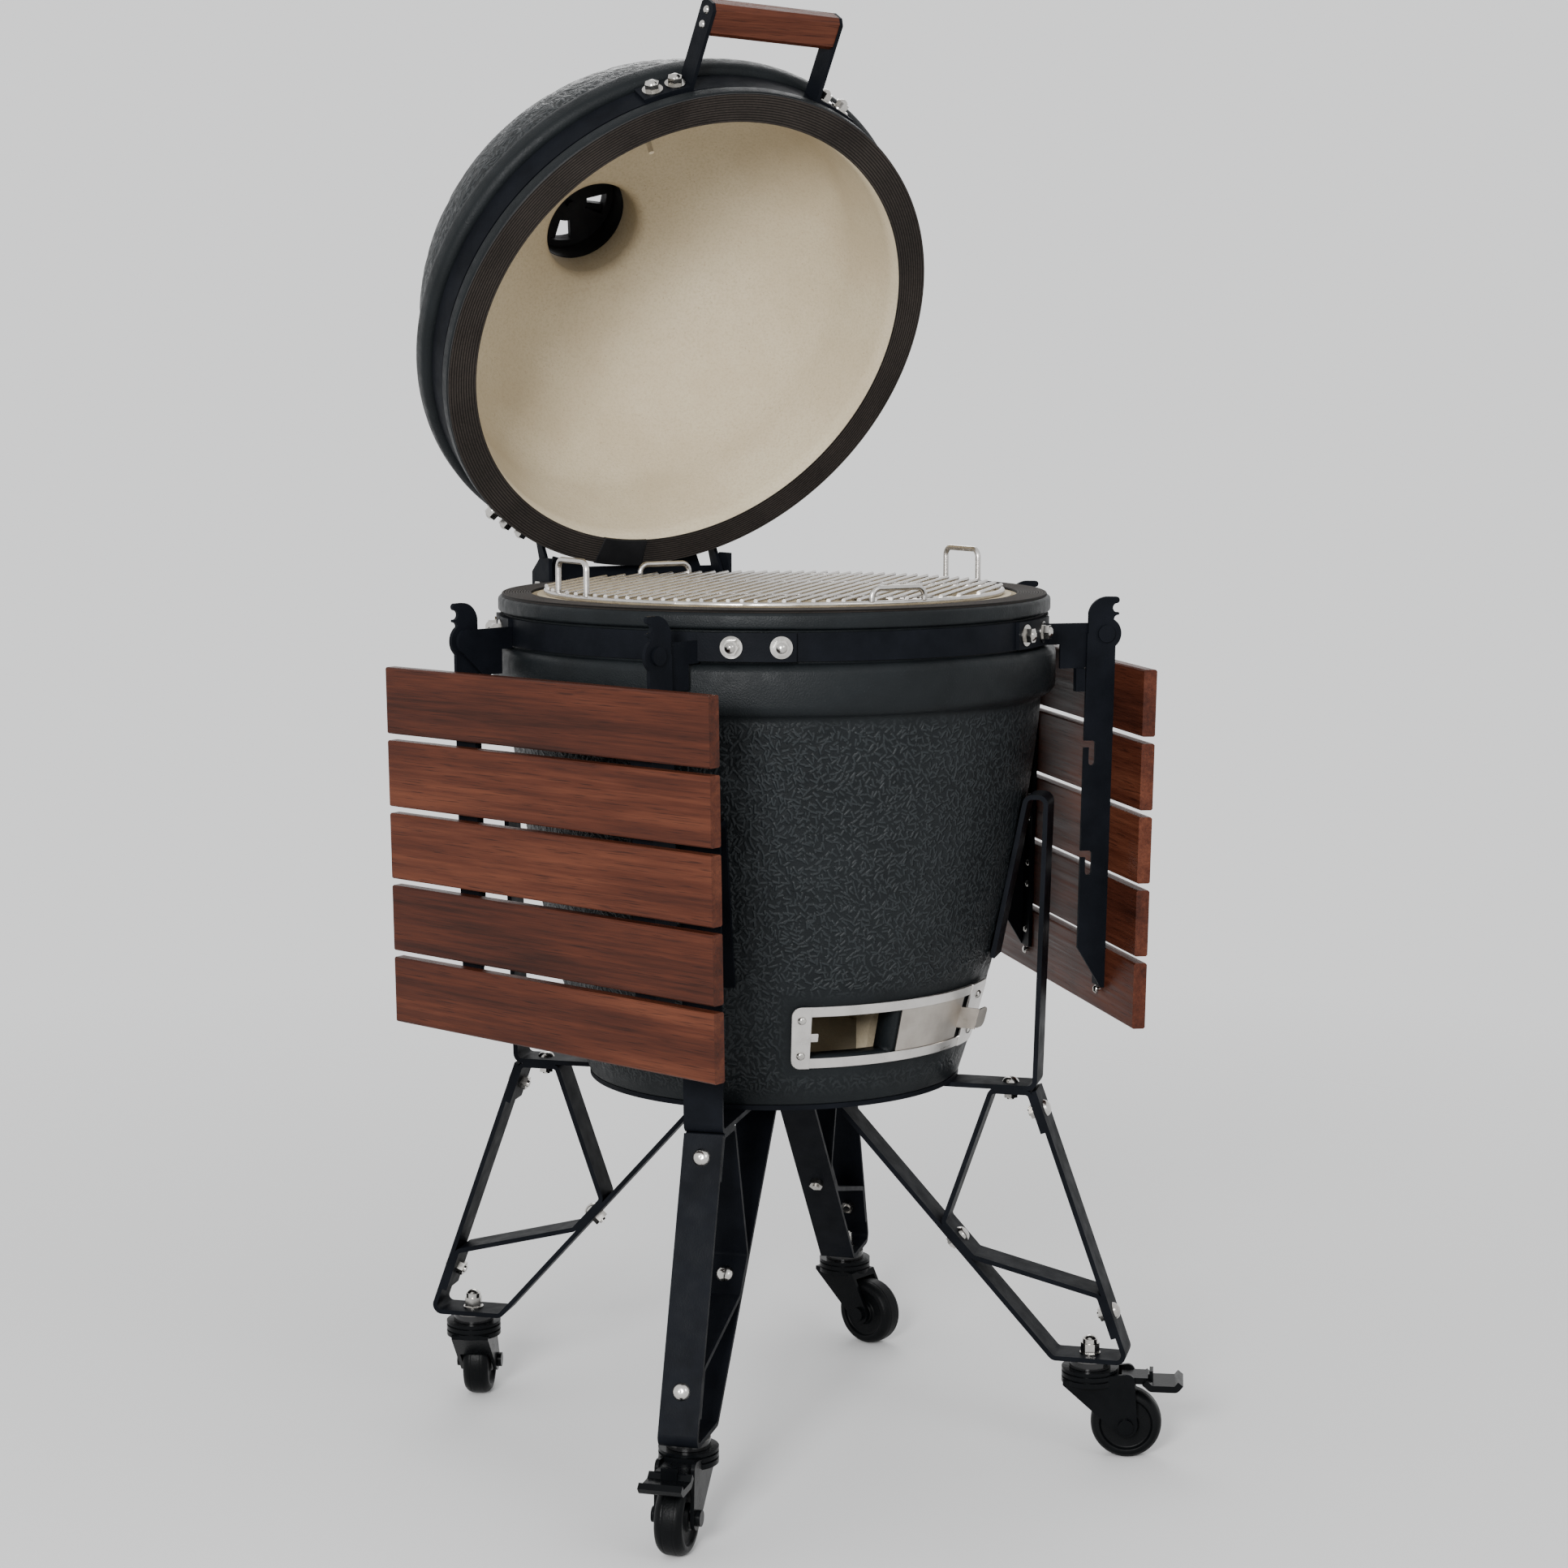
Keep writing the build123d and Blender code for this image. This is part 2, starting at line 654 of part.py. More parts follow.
def root_angle(side, end):
    """Angle from the front at which a table bracket's plate leaves the band."""
    swing = degrees(atan2(PLATE_S, sqrt(BAND_OUT_R**2 - PLATE_S**2)))
    return side * (TABLE_ANGLE + end * swing)


def bracket_nut_places():
    """Places of the acorn nuts that hold the four table brackets to the band."""
    for side in BRACKET_SIDES.values():
        for end in BRACKET_ENDS.values():
            for step in FLANGE_NUTS:
                angle = root_angle(side, end) + side * end * step
                yield leg_place(angle, FLANGE_R, BAND_MID_Z, 1.0, 0.0)


HINGE_NUT_ANGLES = [180 + share * HINGE_SPAN for share in HINGE_NUT_SHARES]
BAND_NUTS = list(bracket_nut_places())
BAND_NUTS += [leg_place(angle, FLANGE_R, BAND_MID_Z, 1.0, 0.0) for angle in HINGE_NUT_ANGLES]
LID_HINGE_NUTS = [
    leg_place(180 + side * share * HINGE_LID_SPAN, LID_FLANGE_R, LID_BAND_Z, 1.0, 0.0)
    for side in (-1, 1)
    for share in LID_NUT_SHARES
]
HANDLE_NUTS = [
    leg_place(HANDLE_TURN + side * angle, LID_FLANGE_R, LID_BAND_Z, 1.0, 0.0)
    for side in (-1, 1)
    for angle in HANDLE_NUT_ANGLES
]
STUD_DEEP = BRACKET_T + BAND_T


def drill(places):
    """Cut a stud's clearance hole at each place of the part being built."""
    with Locations(*places):
        Cylinder(BOLT_R + HOLE_GAP, 4 * STUD_DEEP, mode=Mode.SUBTRACT)


with BuildPart() as bowl_band:
    add(sector(0, 360, ring_corners(SEAT_R, BAND_OUT_R, BAND_LOW_Z, BAND_LOW_Z + BAND_H)))
    drill(BAND_NUTS)
write(bowl_band.part, "bowl_band")
stud_nut = acorn(STUD_DEEP)
write(group(place * stud_nut for place in BAND_NUTS), "band_nuts")

# Hinge base on the bowl's band: a curved flange, two ears for the pin and a plate across the back
with BuildPart() as hinge_base:
    flange = ring_corners(BAND_OUT_R, FLANGE_R, BAND_LOW_Z, BAND_LOW_Z + BAND_H)
    add(sector(180 - HINGE_SPAN, 2 * HINGE_SPAN, flange))
    root_y = sqrt(BAND_OUT_R**2 - (EAR_X - EAR_T / 2) ** 2) + LID_GAP
    for side in (-1, 1):
        with BuildSketch(Plane.YZ.offset(side * EAR_X - EAR_T / 2)):
            with BuildLine():
                Polyline(
                    (root_y, BAND_LOW_Z),
                    (HINGE_PLATE_Y + EAR_T, BAND_LOW_Z),
                    (HINGE_PLATE_Y + EAR_T, HINGE_PLATE_Z),
                    (HINGE_Y + EAR_R / 2, HINGE_TOP_Z),
                    (HINGE_Y - EAR_R, HINGE_TOP_Z),
                    (HINGE_Y - EAR_R, HINGE_Z),
                    (root_y, BAND_LOW_Z + BAND_H),
                    close=True,
                )
            make_face()
            with Locations((HINGE_Y, HINGE_Z)):
                Circle(PIN_R + HOLE_GAP, mode=Mode.SUBTRACT)
        extrude(amount=EAR_T)
    with BuildSketch(Plane.XZ.offset(-HINGE_PLATE_Y - EAR_T)):
        with BuildLine():
            Polyline(
                (0, BAND_LOW_Z),
                (EAR_X, BAND_LOW_Z),
                (EAR_X, HINGE_PLATE_Z),
                (HINGE_WING_X + HINGE_WING_EDGE, HINGE_PLATE_Z),
                (HINGE_WING_X, HINGE_TOP_Z),
                (HINGE_WING_X / 2, HINGE_SADDLE_Z),
                (0, HINGE_SADDLE_Z),
                close=True,
            )
        make_face()
        mirror(about=Plane.YZ)
    extrude(amount=EAR_T)
    drill(BAND_NUTS)
write(hinge_base.part, "hinge_base")

PIN_HALF = EAR_X + EAR_T / 2 + NUT_H
with BuildPart() as hinge_pin:
    with BuildSketch(Plane.YZ.offset(-PIN_HALF)):
        with Locations((HINGE_Y, HINGE_Z)):
            Circle(PIN_R)
    extrude(amount=2 * PIN_HALF)
    for start in (-PIN_HALF, EAR_X + EAR_T / 2):
        with BuildSketch(Plane.YZ.offset(start)):
            with Locations((HINGE_Y, HINGE_Z)):
                RegularPolygon(PIN_NUT * PIN_R, HEX)
        extrude(amount=NUT_H)
write(hinge_pin.part, "hinge_pin")

# Lid: dome with shoulder, groove and chimney, seal, band and hinge frame, drawn closed and turned open
INNER_DOME_R = DOME_R - LID_WALL
INNER_DOME_RISE = DOME_RISE - LID_WALL
COLLAR_R = CHIMNEY_R + NECK_WALL
COLLAR_Z = DOME_TOP_Z + CHIMNEY_RISE


def dome_height(radius, span, rise):
    """Height of an ellipse of the dome above its springing at a radius."""
    return rise * sqrt(1 - (radius / span) ** 2)


DIAL_UP = LID_Z + DIAL_H - DOME_Z
DIAL_OUT = DOME_R * sqrt(1 - (DIAL_UP / DOME_RISE) ** 2)
DIAL_PLACE = leg_place(
    HANDLE_TURN, DIAL_OUT, DOME_Z + DIAL_UP, DIAL_OUT / DOME_R**2, DIAL_UP / DOME_RISE**2
)
STEM_BORE_R = PROBE_R + PROBE_CLEAR
with BuildPart() as lid_dome:
    with BuildSketch(Plane.XZ):
        with BuildLine():
            FilletPolyline(
                (MOUTH_R, LID_CERAMIC_Z),
                (LID_RIM_R, LID_CERAMIC_Z),
                (LID_RIM_R, LID_SEAT_Z),
                (LID_SEAT_R, LID_SEAT_Z),
                (LID_SEAT_R, LID_SHOULDER_Z),
                (LID_SHOULDER_R, LID_SHOULDER_Z),
                (LID_SHOULDER_R, DOME_Z - SHOULDER_RISE),
                (DOME_R, DOME_Z),
                radius=LID_ROUNDS,
            )
            collar_foot = (COLLAR_R, DOME_Z + dome_height(COLLAR_R, DOME_R, DOME_RISE))
            foot_angle = degrees(atan2(collar_foot[1] - DOME_Z, COLLAR_R * DOME_RISE / DOME_R))
            EllipticalCenterArc((0, DOME_Z), DOME_R, DOME_RISE, start_angle=0, arc_size=foot_angle)
            Polyline(collar_foot, (COLLAR_R, COLLAR_Z), (CHIMNEY_R, COLLAR_Z))
            flue_foot = (CHIMNEY_R, DOME_Z + dome_height(CHIMNEY_R, INNER_DOME_R, INNER_DOME_RISE))
            Line((CHIMNEY_R, COLLAR_Z), flue_foot)
            flue_angle = degrees(atan2(flue_foot[1] - DOME_Z, CHIMNEY_R * INNER_DOME_RISE / INNER_DOME_R))
            EllipticalCenterArc(
                (0, DOME_Z), INNER_DOME_R, INNER_DOME_RISE, start_angle=0, arc_size=flue_angle
            )
            Line((INNER_DOME_R, DOME_Z), (MOUTH_R, LID_CERAMIC_Z))
        make_face()
    revolve(axis=Axis.Z)
    with Locations(DIAL_PLACE):
        Cylinder(STEM_BORE_R, 6 * LID_WALL, mode=Mode.SUBTRACT)
write(lid_dome.part, "lid_dome", LID_OPEN)

lid_gasket = sector(0, 360, ring_corners(MOUTH_R, LID_RIM_R - LID_GASKET_SET, LID_Z, LID_CERAMIC_Z))
write(lid_gasket, "lid_gasket", LID_OPEN)

with BuildPart() as lid_band:
    add(sector(0, 360, ring_corners(LID_SEAT_R, LID_BAND_R, LID_BAND_LOW_Z, LID_BAND_LOW_Z + BAND_H)))
    drill(LID_HINGE_NUTS + HANDLE_NUTS)
write(lid_band.part, "lid_band", LID_OPEN)

LID_EAR_X = EAR_X - EAR_T - EAR_GAP
with BuildPart() as hinge_frame:
    lid_flange = ring_corners(LID_BAND_R, LID_FLANGE_R, LID_BAND_LOW_Z, LID_BAND_LOW_Z + BAND_H)
    add(sector(180 - HINGE_LID_SPAN, 2 * HINGE_LID_SPAN, lid_flange))
    root_y = sqrt(LID_BAND_R**2 - (LID_EAR_X - EAR_T / 2) ** 2) + LID_GAP
    for side in (-1, 1):
        with BuildSketch(Plane.YZ.offset(side * LID_EAR_X - EAR_T / 2)):
            with BuildLine():
                Polyline(
                    (root_y, LID_BAND_LOW_Z + BAND_H),
                    (root_y, LID_BAND_LOW_Z),
                    (root_y + 2 * EAR_T, LID_BAND_LOW_Z),
                    (HINGE_Y - EAR_R, HINGE_Z),
                    (HINGE_Y - EAR_R / 2, HINGE_Z - EAR_R),
                    (HINGE_Y + EAR_R / 2, HINGE_Z - EAR_R),
                    (HINGE_Y + EAR_R, HINGE_Z),
                    (HINGE_Y + EAR_R / 2, HINGE_Z + EAR_R),
                    (HINGE_Y - EAR_BACK * EAR_R, HINGE_Z + EAR_RISE * EAR_R),
                    close=True,
                )
            make_face()
            with Locations((HINGE_Y, HINGE_Z)):
                Circle(PIN_R + RUNNING_GAP, mode=Mode.SUBTRACT)
        extrude(amount=EAR_T)
    drill(LID_HINGE_NUTS)
write(hinge_frame.part, "hinge_frame", LID_OPEN)

# Lid handle: two bent straps on the lid's band, a wooden grip between them
HANDLE_PLACE = Location((0, 0, 0), (0, 0, HANDLE_TURN))
STRAP_IN_Y = sqrt(LID_BAND_R**2 - HANDLE_HALF**2) + LID_GAP
STRAP_END = 6.0
SCREW_STEPS = (10.0, 26.0)
HANDLE_SCREWS = [
    HANDLE_PLACE * Location((side * (HANDLE_HALF + STRAP_T), step - GRIP_OUT, LID_BAND_Z), (0, side * 90, 0))
    for side in (-1, 1)
    for step in SCREW_STEPS
]


def handle_strap(side):
    """Flat strap with its flange along the band, standing out from the lid on one side."""
    root = degrees(atan2(HANDLE_HALF, STRAP_IN_Y))
    low, high = LID_BAND_Z - STRAP_W / 2, LID_BAND_Z + STRAP_W / 2
    span = HANDLE_FLANGE_END - root
    start = HANDLE_TURN + (root if side > 0 else -HANDLE_FLANGE_END)
    with BuildPart() as strap:
        flat = Plane.YZ.offset(side * (HANDLE_HALF + STRAP_T / 2))
        with BuildSketch(flat):
            with BuildLine():
                Polyline(
                    (-STRAP_IN_Y, low),
                    (STRAP_END - GRIP_OUT, low),
                    (-GRIP_OUT, low + STRAP_END),
                    (-GRIP_OUT, high - STRAP_END),
                    (STRAP_END - GRIP_OUT, high),
                    (-STRAP_IN_Y, high),
                    close=True,
                )
            make_face()
        extrude(amount=STRAP_T / 2, both=True)
    with BuildPart() as piece:
        add(HANDLE_PLACE * strap.part)
        add(sector(start, span, ring_corners(LID_BAND_R, LID_FLANGE_R, low, high)))
        drill(HANDLE_NUTS)
        with Locations(*HANDLE_SCREWS):
            Cylinder(SCREW_R / 2 + HOLE_GAP, 4 * STRAP_T, mode=Mode.SUBTRACT)
    return piece.part


for name, side in BRACKET_SIDES.items():
    write(handle_strap(side), f"handle_strap_{name}", LID_OPEN)

with BuildPart() as handle_grip:
    with Locations((0, GRIP_DEEP / 2 - GRIP_OUT, LID_BAND_Z)):
        Box(2 * HANDLE_HALF, GRIP_DEEP, GRIP_H)
    chamfer(handle_grip.edges().filter_by(Axis.X), STRAP_END - 1)
write(handle_grip.part, "handle_grip", LID_OPEN * HANDLE_PLACE)
handle_screw = screw(STRAP_T)
lid_fasteners = [place * stud_nut for place in LID_HINGE_NUTS + HANDLE_NUTS]
lid_fasteners += [place * handle_screw for place in HANDLE_SCREWS]
write(group(lid_fasteners), "lid_fasteners", LID_OPEN)

# Thermometer through the dome, above the handle
with BuildPart() as thermometer:
    with Locations((0, 0, LID_GAP)):
        Cylinder(DIAL_R, DIAL_DEEP, align=(Align.CENTER, Align.CENTER, Align.MIN))
    fillet(thermometer.edges().group_by(Axis.Z)[-1], 2)
    Cylinder(STEM_BORE_R - HOLE_GAP, LID_WALL, align=(Align.CENTER, Align.CENTER, Align.MAX))
    Cylinder(PROBE_R, PROBE_LONG, align=(Align.CENTER, Align.CENTER, Align.MAX))
    Cylinder(STEM_BORE_R - HOLE_GAP, 1, align=(Align.CENTER, Align.CENTER, Align.MIN))
write(thermometer.part, "thermometer", LID_OPEN * DIAL_PLACE)

# Chimney vent: a cast collar with a holed top, and a turning cap with the same holes
VENT_PLATE_Z = COLLAR_Z + VENT_H - VENT_WALL
VENT_HOLE_RING = VENT_RING * CHIMNEY_R
with BuildPart() as vent_base:
    with BuildSketch(Plane.XY.offset(COLLAR_Z)):
        Circle(COLLAR_R + VENT_WALL / 2)
        Circle(CHIMNEY_R, mode=Mode.SUBTRACT)
    extrude(amount=VENT_H)
    with BuildSketch(Plane.XY.offset(VENT_PLATE_Z)):
        Circle(CHIMNEY_R + 1)
        with PolarLocations(VENT_HOLE_RING, VENT_SLOTS):
            Circle(VENT_SLOT_R, mode=Mode.SUBTRACT)
        Circle(BOLT_R + RUNNING_GAP, mode=Mode.SUBTRACT)
    extrude(amount=VENT_WALL)
write(vent_base.part, "vent_base", LID_OPEN)

CAP_Z = COLLAR_Z + VENT_H + LID_GAP
with BuildPart() as vent_cap:
    with BuildSketch(Plane.XY.offset(CAP_Z)):
        Circle(COLLAR_R)
        with PolarLocations(VENT_HOLE_RING, VENT_SLOTS):
            Circle(VENT_SLOT_R, mode=Mode.SUBTRACT)
    extrude(amount=VENT_CAP_T)
    with Locations((0, 0, CAP_Z + VENT_CAP_T)):
        Cylinder(BOLT_R, VENT_CAP_T + VENT_WALL + NUT_H, align=(Align.CENTER, Align.CENTER, Align.MAX))
        Cylinder(VENT_KNOB_R, NUT_H, align=(Align.CENTER, Align.CENTER, Align.MIN))
    with Locations((0, -COLLAR_R + VENT_KNOB_R, CAP_Z + VENT_CAP_T)):
        Cylinder(VENT_KNOB_R * KNOB_NECK, 2 * VENT_KNOB_R, align=(Align.CENTER, Align.CENTER, Align.MIN))
write(vent_cap.part, "vent_cap", LID_OPEN)

# Cart: a base plate under the bowl and, at each corner, a cradle arm, a leg frame and a brace of flat bar
BASE_DRAIN_R = 12.0
LEG_TOP_Z = ARM_Z - BAR_T / 2 - PAD_GAP
LEG_WAY = Vector(LEG_FOOT_R - LEG_TOP_R, FOOT_Z - LEG_TOP_Z, 0).normalized()
DIAGONAL_WAY = Vector(DIAGONAL_TOP_R - FOOT_IN_R, ARM_Z - FOOT_Z, 0).normalized()


def beside_leg(height):
    """Radius of the brace's middle where it lies inside the leg's outer bar at a height."""
    middle = LEG_TOP_R + (LEG_TOP_Z - height) * (LEG_FOOT_R - LEG_TOP_R) / (LEG_TOP_Z - FOOT_Z)
    slope = (LEG_FOOT_R - LEG_TOP_R) / (LEG_TOP_Z - FOOT_Z)
    return middle - BAR_T * sqrt(1 + slope**2)


def above_diagonal(radius):
    """Height of the brace's middle where it lies on the diagonal at a radius."""
    slope = (ARM_Z - FOOT_Z) / (FOOT_IN_R - DIAGONAL_TOP_R)
    return FOOT_Z + (FOOT_IN_R - radius) * slope + BAR_T * sqrt(1 + slope**2)


PAD_SLOPE = (bowl_radius(HAIRPIN_Z) - bowl_radius(PAD_LOW_Z)) / (HAIRPIN_Z - PAD_LOW_Z)
PAD_MID_Z = (HAIRPIN_Z + PAD_LOW_Z) / 2
PAD_MID_R = bowl_radius(PAD_MID_Z) + BAR_T / 2 * sqrt(1 + PAD_SLOPE**2) + PAD_GAP


def pad_radius(height):
    """Radius of the cradle pad's middle, which leans along the bowl's wall."""
    return PAD_MID_R + (height - PAD_MID_Z) * PAD_SLOPE


BRACE_TOP_Z = ARM_Z - BAR_T
LEG_BOLT_HIGH_Z = 371.0
LEG_BOLT_LOW_Z = 156.0
DIAGONAL_BOLT_R = (BRACE_ELBOW_R + BRACE_TURN_R) / 2
ARM_BOLT_R = 258.0


def leg_bolts(angle):
    """Places and grips of one corner's bolts, heads outward or up."""
    grip = 2 * BAR_T
    leg_out, leg_up = -LEG_WAY.Y, LEG_WAY.X
    for height in (LEG_BOLT_HIGH_Z, LEG_BOLT_LOW_Z):
        radius = beside_leg(height) + 1.5 * BAR_T * leg_out
        yield leg_place(angle, radius, height + 1.5 * BAR_T * leg_up, leg_out, leg_up), grip
    under = Vector(-DIAGONAL_WAY.Y, DIAGONAL_WAY.X, 0)
    radius = DIAGONAL_BOLT_R - 0.5 * BAR_T * under.X
    height = above_diagonal(DIAGONAL_BOLT_R) - 0.5 * BAR_T * under.Y
    yield leg_place(angle, radius, height, -under.X, -under.Y), grip
    yield leg_place(angle, ARM_BOLT_R, ARM_Z + BAR_T / 2), grip


def drill_legs(angle):
    """Cut the clearance holes of one corner's bolts in the bar being built."""
    for place, grip in leg_bolts(angle):
        with Locations(place):
            Cylinder(BOLT_R + HOLE_GAP, 4 * grip, mode=Mode.SUBTRACT)


def bar(angle, corners, radius=BEND_R):
    """Flat bar bent along a line of (radius, height) corners in a leg's upright plane."""
    with BuildPart() as piece:
        with BuildSketch(upright(angle)):
            with BuildLine():
                FilletPolyline(*corners, radius=radius)
            trace(line_width=BAR_T)
        extrude(amount=BAR_W / 2, both=True)
        drill_legs(angle)
    return piece.part


base_plate = sector(0, 360, ring_corners(BASE_DRAIN_R, BASE_R, BASE_Z - PLATE_T, BASE_Z))
write(base_plate, "base_plate")
leg_bolt = bolt(2 * BAR_T)
cart_fasteners = []
for name, angle in LEG_ANGLES.items():
    cradle_arm = bar(
        angle,
        (
            (ARM_IN_R, ARM_Z),
            (UPRIGHT_R, ARM_Z),
            (UPRIGHT_TOP_R, HAIRPIN_Z),
            (UPRIGHT_TOP_R - HAIRPIN_W, HAIRPIN_Z),
            (pad_radius(PAD_LOW_Z), PAD_LOW_Z),
        ),
    )
    write(cradle_arm, f"cradle_arm_{name}")
    with BuildPart() as leg_frame:
        add(
            bar(
                angle,
                (
                    (LEG_TOP_R, LEG_TOP_Z),
                    (LEG_FOOT_R, FOOT_Z),
                    (FOOT_IN_R, FOOT_Z),
                    (DIAGONAL_TOP_R, ARM_Z),
                    (DIAGONAL_END_R, ARM_Z),
                ),
            )
        )
        with Locations(leg_place(angle, STEM_R, FOOT_Z)):
            Cylinder(STEM_BOLT_R + HOLE_GAP, 2 * BAR_T, mode=Mode.SUBTRACT)
    write(leg_frame.part, f"leg_frame_{name}")
    leg_brace = bar(
        angle,
        (
            (beside_leg(BRACE_TOP_END_Z), BRACE_TOP_END_Z),
            (beside_leg(BRACE_TOP_Z), BRACE_TOP_Z),
            (BRACE_IN_R, BRACE_TOP_Z),
            (BRACE_ELBOW_R, above_diagonal(BRACE_ELBOW_R)),
            (BRACE_TURN_R, above_diagonal(BRACE_TURN_R)),
            (beside_leg(BRACE_OUT_Z), BRACE_OUT_Z),
            (beside_leg(BRACE_LOW_END_Z), BRACE_LOW_END_Z),
        ),
        BRACE_BEND_R,
    )
    write(leg_brace, f"leg_brace_{name}")
    cart_fasteners += [place * leg_bolt for place, _ in leg_bolts(angle)]

# Casters: stems bolted through the feet, forks that swivel on them, wheels and two brake pedals
RACE_Z = HEAD_LOW_Z + HEAD_DISC_H + SWIVEL_GAP
STEM_DEEP = HEAD_DISC_H - STEM_END
with BuildPart() as caster_stem:
    with Locations((0, 0, RACE_Z)):
        Cylinder(STEM_RACE_R, CASTER_H - RACE_Z, align=(Align.CENTER, Align.CENTER, Align.MIN))
        Cylinder(STEM_BOLT_R, CASTER_H + BAR_T - RACE_Z, align=(Align.CENTER, Align.CENTER, Align.MIN))
        Cylinder(STEM_BOLT_R, STEM_DEEP, align=(Align.CENTER, Align.CENTER, Align.MAX))
    with Locations((0, 0, CASTER_H + BAR_T)):
        Cylinder(WASHER_R, WASHER_T, align=(Align.CENTER, Align.CENTER, Align.MIN))
    with BuildSketch(Plane.XY.offset(CASTER_H + BAR_T + WASHER_T)):
        RegularPolygon(STEM_NUT_R, HEX)
    extrude(amount=STEM_NUT_H)
    with Locations((0, 0, CASTER_H + BAR_T + WASHER_T + STEM_NUT_H)):
        Cylinder(STEM_CAP_R, STEM_CAP_H, align=(Align.CENTER, Align.CENTER, Align.MIN))
    with Locations((0, 0, CASTER_H + BAR_T + WASHER_T + STEM_NUT_H + STEM_CAP_H)):
        Sphere(STEM_CAP_R, arc_size1=0)
CASTER_PLACES = {
    name: Location(outward(angle) * STEM_R, (0, 0, CASTER_TURNS[name] - 90))
    for name, angle in LEG_ANGLES.items()
}
cart_fasteners += [place * caster_stem.part for place in CASTER_PLACES.values()]
write(group(cart_fasteners), "cart_fasteners")

CHEEK_IN = WHEEL_W / 2 + CHEEK_GAP
AXLE_HALF = CHEEK_IN + CHEEK_T + AXLE_NUT_H
AXLE_EYE_R = 3 * AXLE_R
PEDAL_EYE_R = 2 * BOLT_R
NECK_H = 4.0


def caster_fork(braked):
    """Swivel head with ball-race ridges, housing over the wheel, axle and nuts, trailing towards +x."""
    with BuildPart() as piece:
        with Locations((0, 0, HEAD_LOW_Z)):
            Cylinder(HEAD_DISC_R, HEAD_DISC_H, align=(Align.CENTER, Align.CENTER, Align.MIN))
        for groove in HEAD_GROOVES:
            ring = ring_corners(HEAD_DISC_R - HEAD_GROOVE, 2 * HEAD_DISC_R, groove, groove + HEAD_GROOVE)
            add(sector(0, 360, ring), mode=Mode.SUBTRACT)
        with BuildSketch(Plane.XZ):
            with Locations((0, HEAD_LOW_Z + NECK_H / 2)):
                Rectangle(2 * HEAD_DISC_R - NECK_H, NECK_H)
            with Locations((TRAIL, WHEEL_R)):
                Circle(AXLE_EYE_R)
            if braked:
                with Locations((PEDAL_PIVOT_X, PEDAL_PIVOT_Z)):
                    Circle(PEDAL_EYE_R)
            make_hull()
        extrude(amount=CHEEK_IN + CHEEK_T, both=True)
        with Locations(Location((TRAIL, 0, WHEEL_R), (90, 0, 0))):
            Cylinder(WHEEL_R + ROOF_GAP, 2 * CHEEK_IN, mode=Mode.SUBTRACT)
        if braked:
            mouth = (HEAD_DISC_R + SWIVEL_GAP, 0, WHEEL_R + WHEEL_R)
            with Locations(mouth):
                Box(
                    PEDAL_OUT,
                    2 * CHEEK_IN,
                    CASTER_H,
                    align=(Align.MIN, Align.CENTER, Align.MIN),
                    mode=Mode.SUBTRACT,
                )
            with Locations(Location((PEDAL_PIVOT_X, 0, PEDAL_PIVOT_Z), (90, 0, 0))):
                Cylinder(PEDAL_PIN_R + RUNNING_GAP, 4 * CHEEK_IN, mode=Mode.SUBTRACT)
        with Locations(Location((TRAIL, 0, WHEEL_R), (90, 0, 0))):
            Cylinder(AXLE_R, 2 * AXLE_HALF)
            for side in (-1, 1):
                with Locations((0, 0, side * (AXLE_HALF - AXLE_NUT_H / 2))):
                    Cylinder(2 * AXLE_R, AXLE_NUT_H)
        with Locations((0, 0, RACE_Z)):
            bore = STEM_DEEP + RUNNING_GAP
            Cylinder(
                STEM_BOLT_R + RUNNING_GAP,
                bore,
                align=(Align.CENTER, Align.CENTER, Align.MAX),
                mode=Mode.SUBTRACT,
            )
    return piece.part


with BuildPart() as wheel:
    with BuildSketch(Plane.XY):
        with BuildLine():
            half = WHEEL_W / 2
            FilletPolyline(
                (AXLE_R + RUNNING_GAP, half),
                (WHEEL_HUB_R, half),
                (WHEEL_HUB_R, half - WHEEL_DISH),
                (WHEEL_TYRE_R, half - WHEEL_DISH),
                (WHEEL_TYRE_R, half),
                (WHEEL_R, half),
                (WHEEL_R, -half),
                (WHEEL_TYRE_R, -half),
                (WHEEL_TYRE_R, WHEEL_DISH - half),
                (WHEEL_HUB_R, WHEEL_DISH - half),
                (WHEEL_HUB_R, -half),
                (AXLE_R + RUNNING_GAP, -half),
                radius=4 * [WHEEL_EDGE] + 2 * [WHEEL_CROWN] + 4 * [WHEEL_EDGE],
            )
            Line((AXLE_R + RUNNING_GAP, -half), (AXLE_R + RUNNING_GAP, half))
        make_face()
    revolve(axis=Axis.Y)

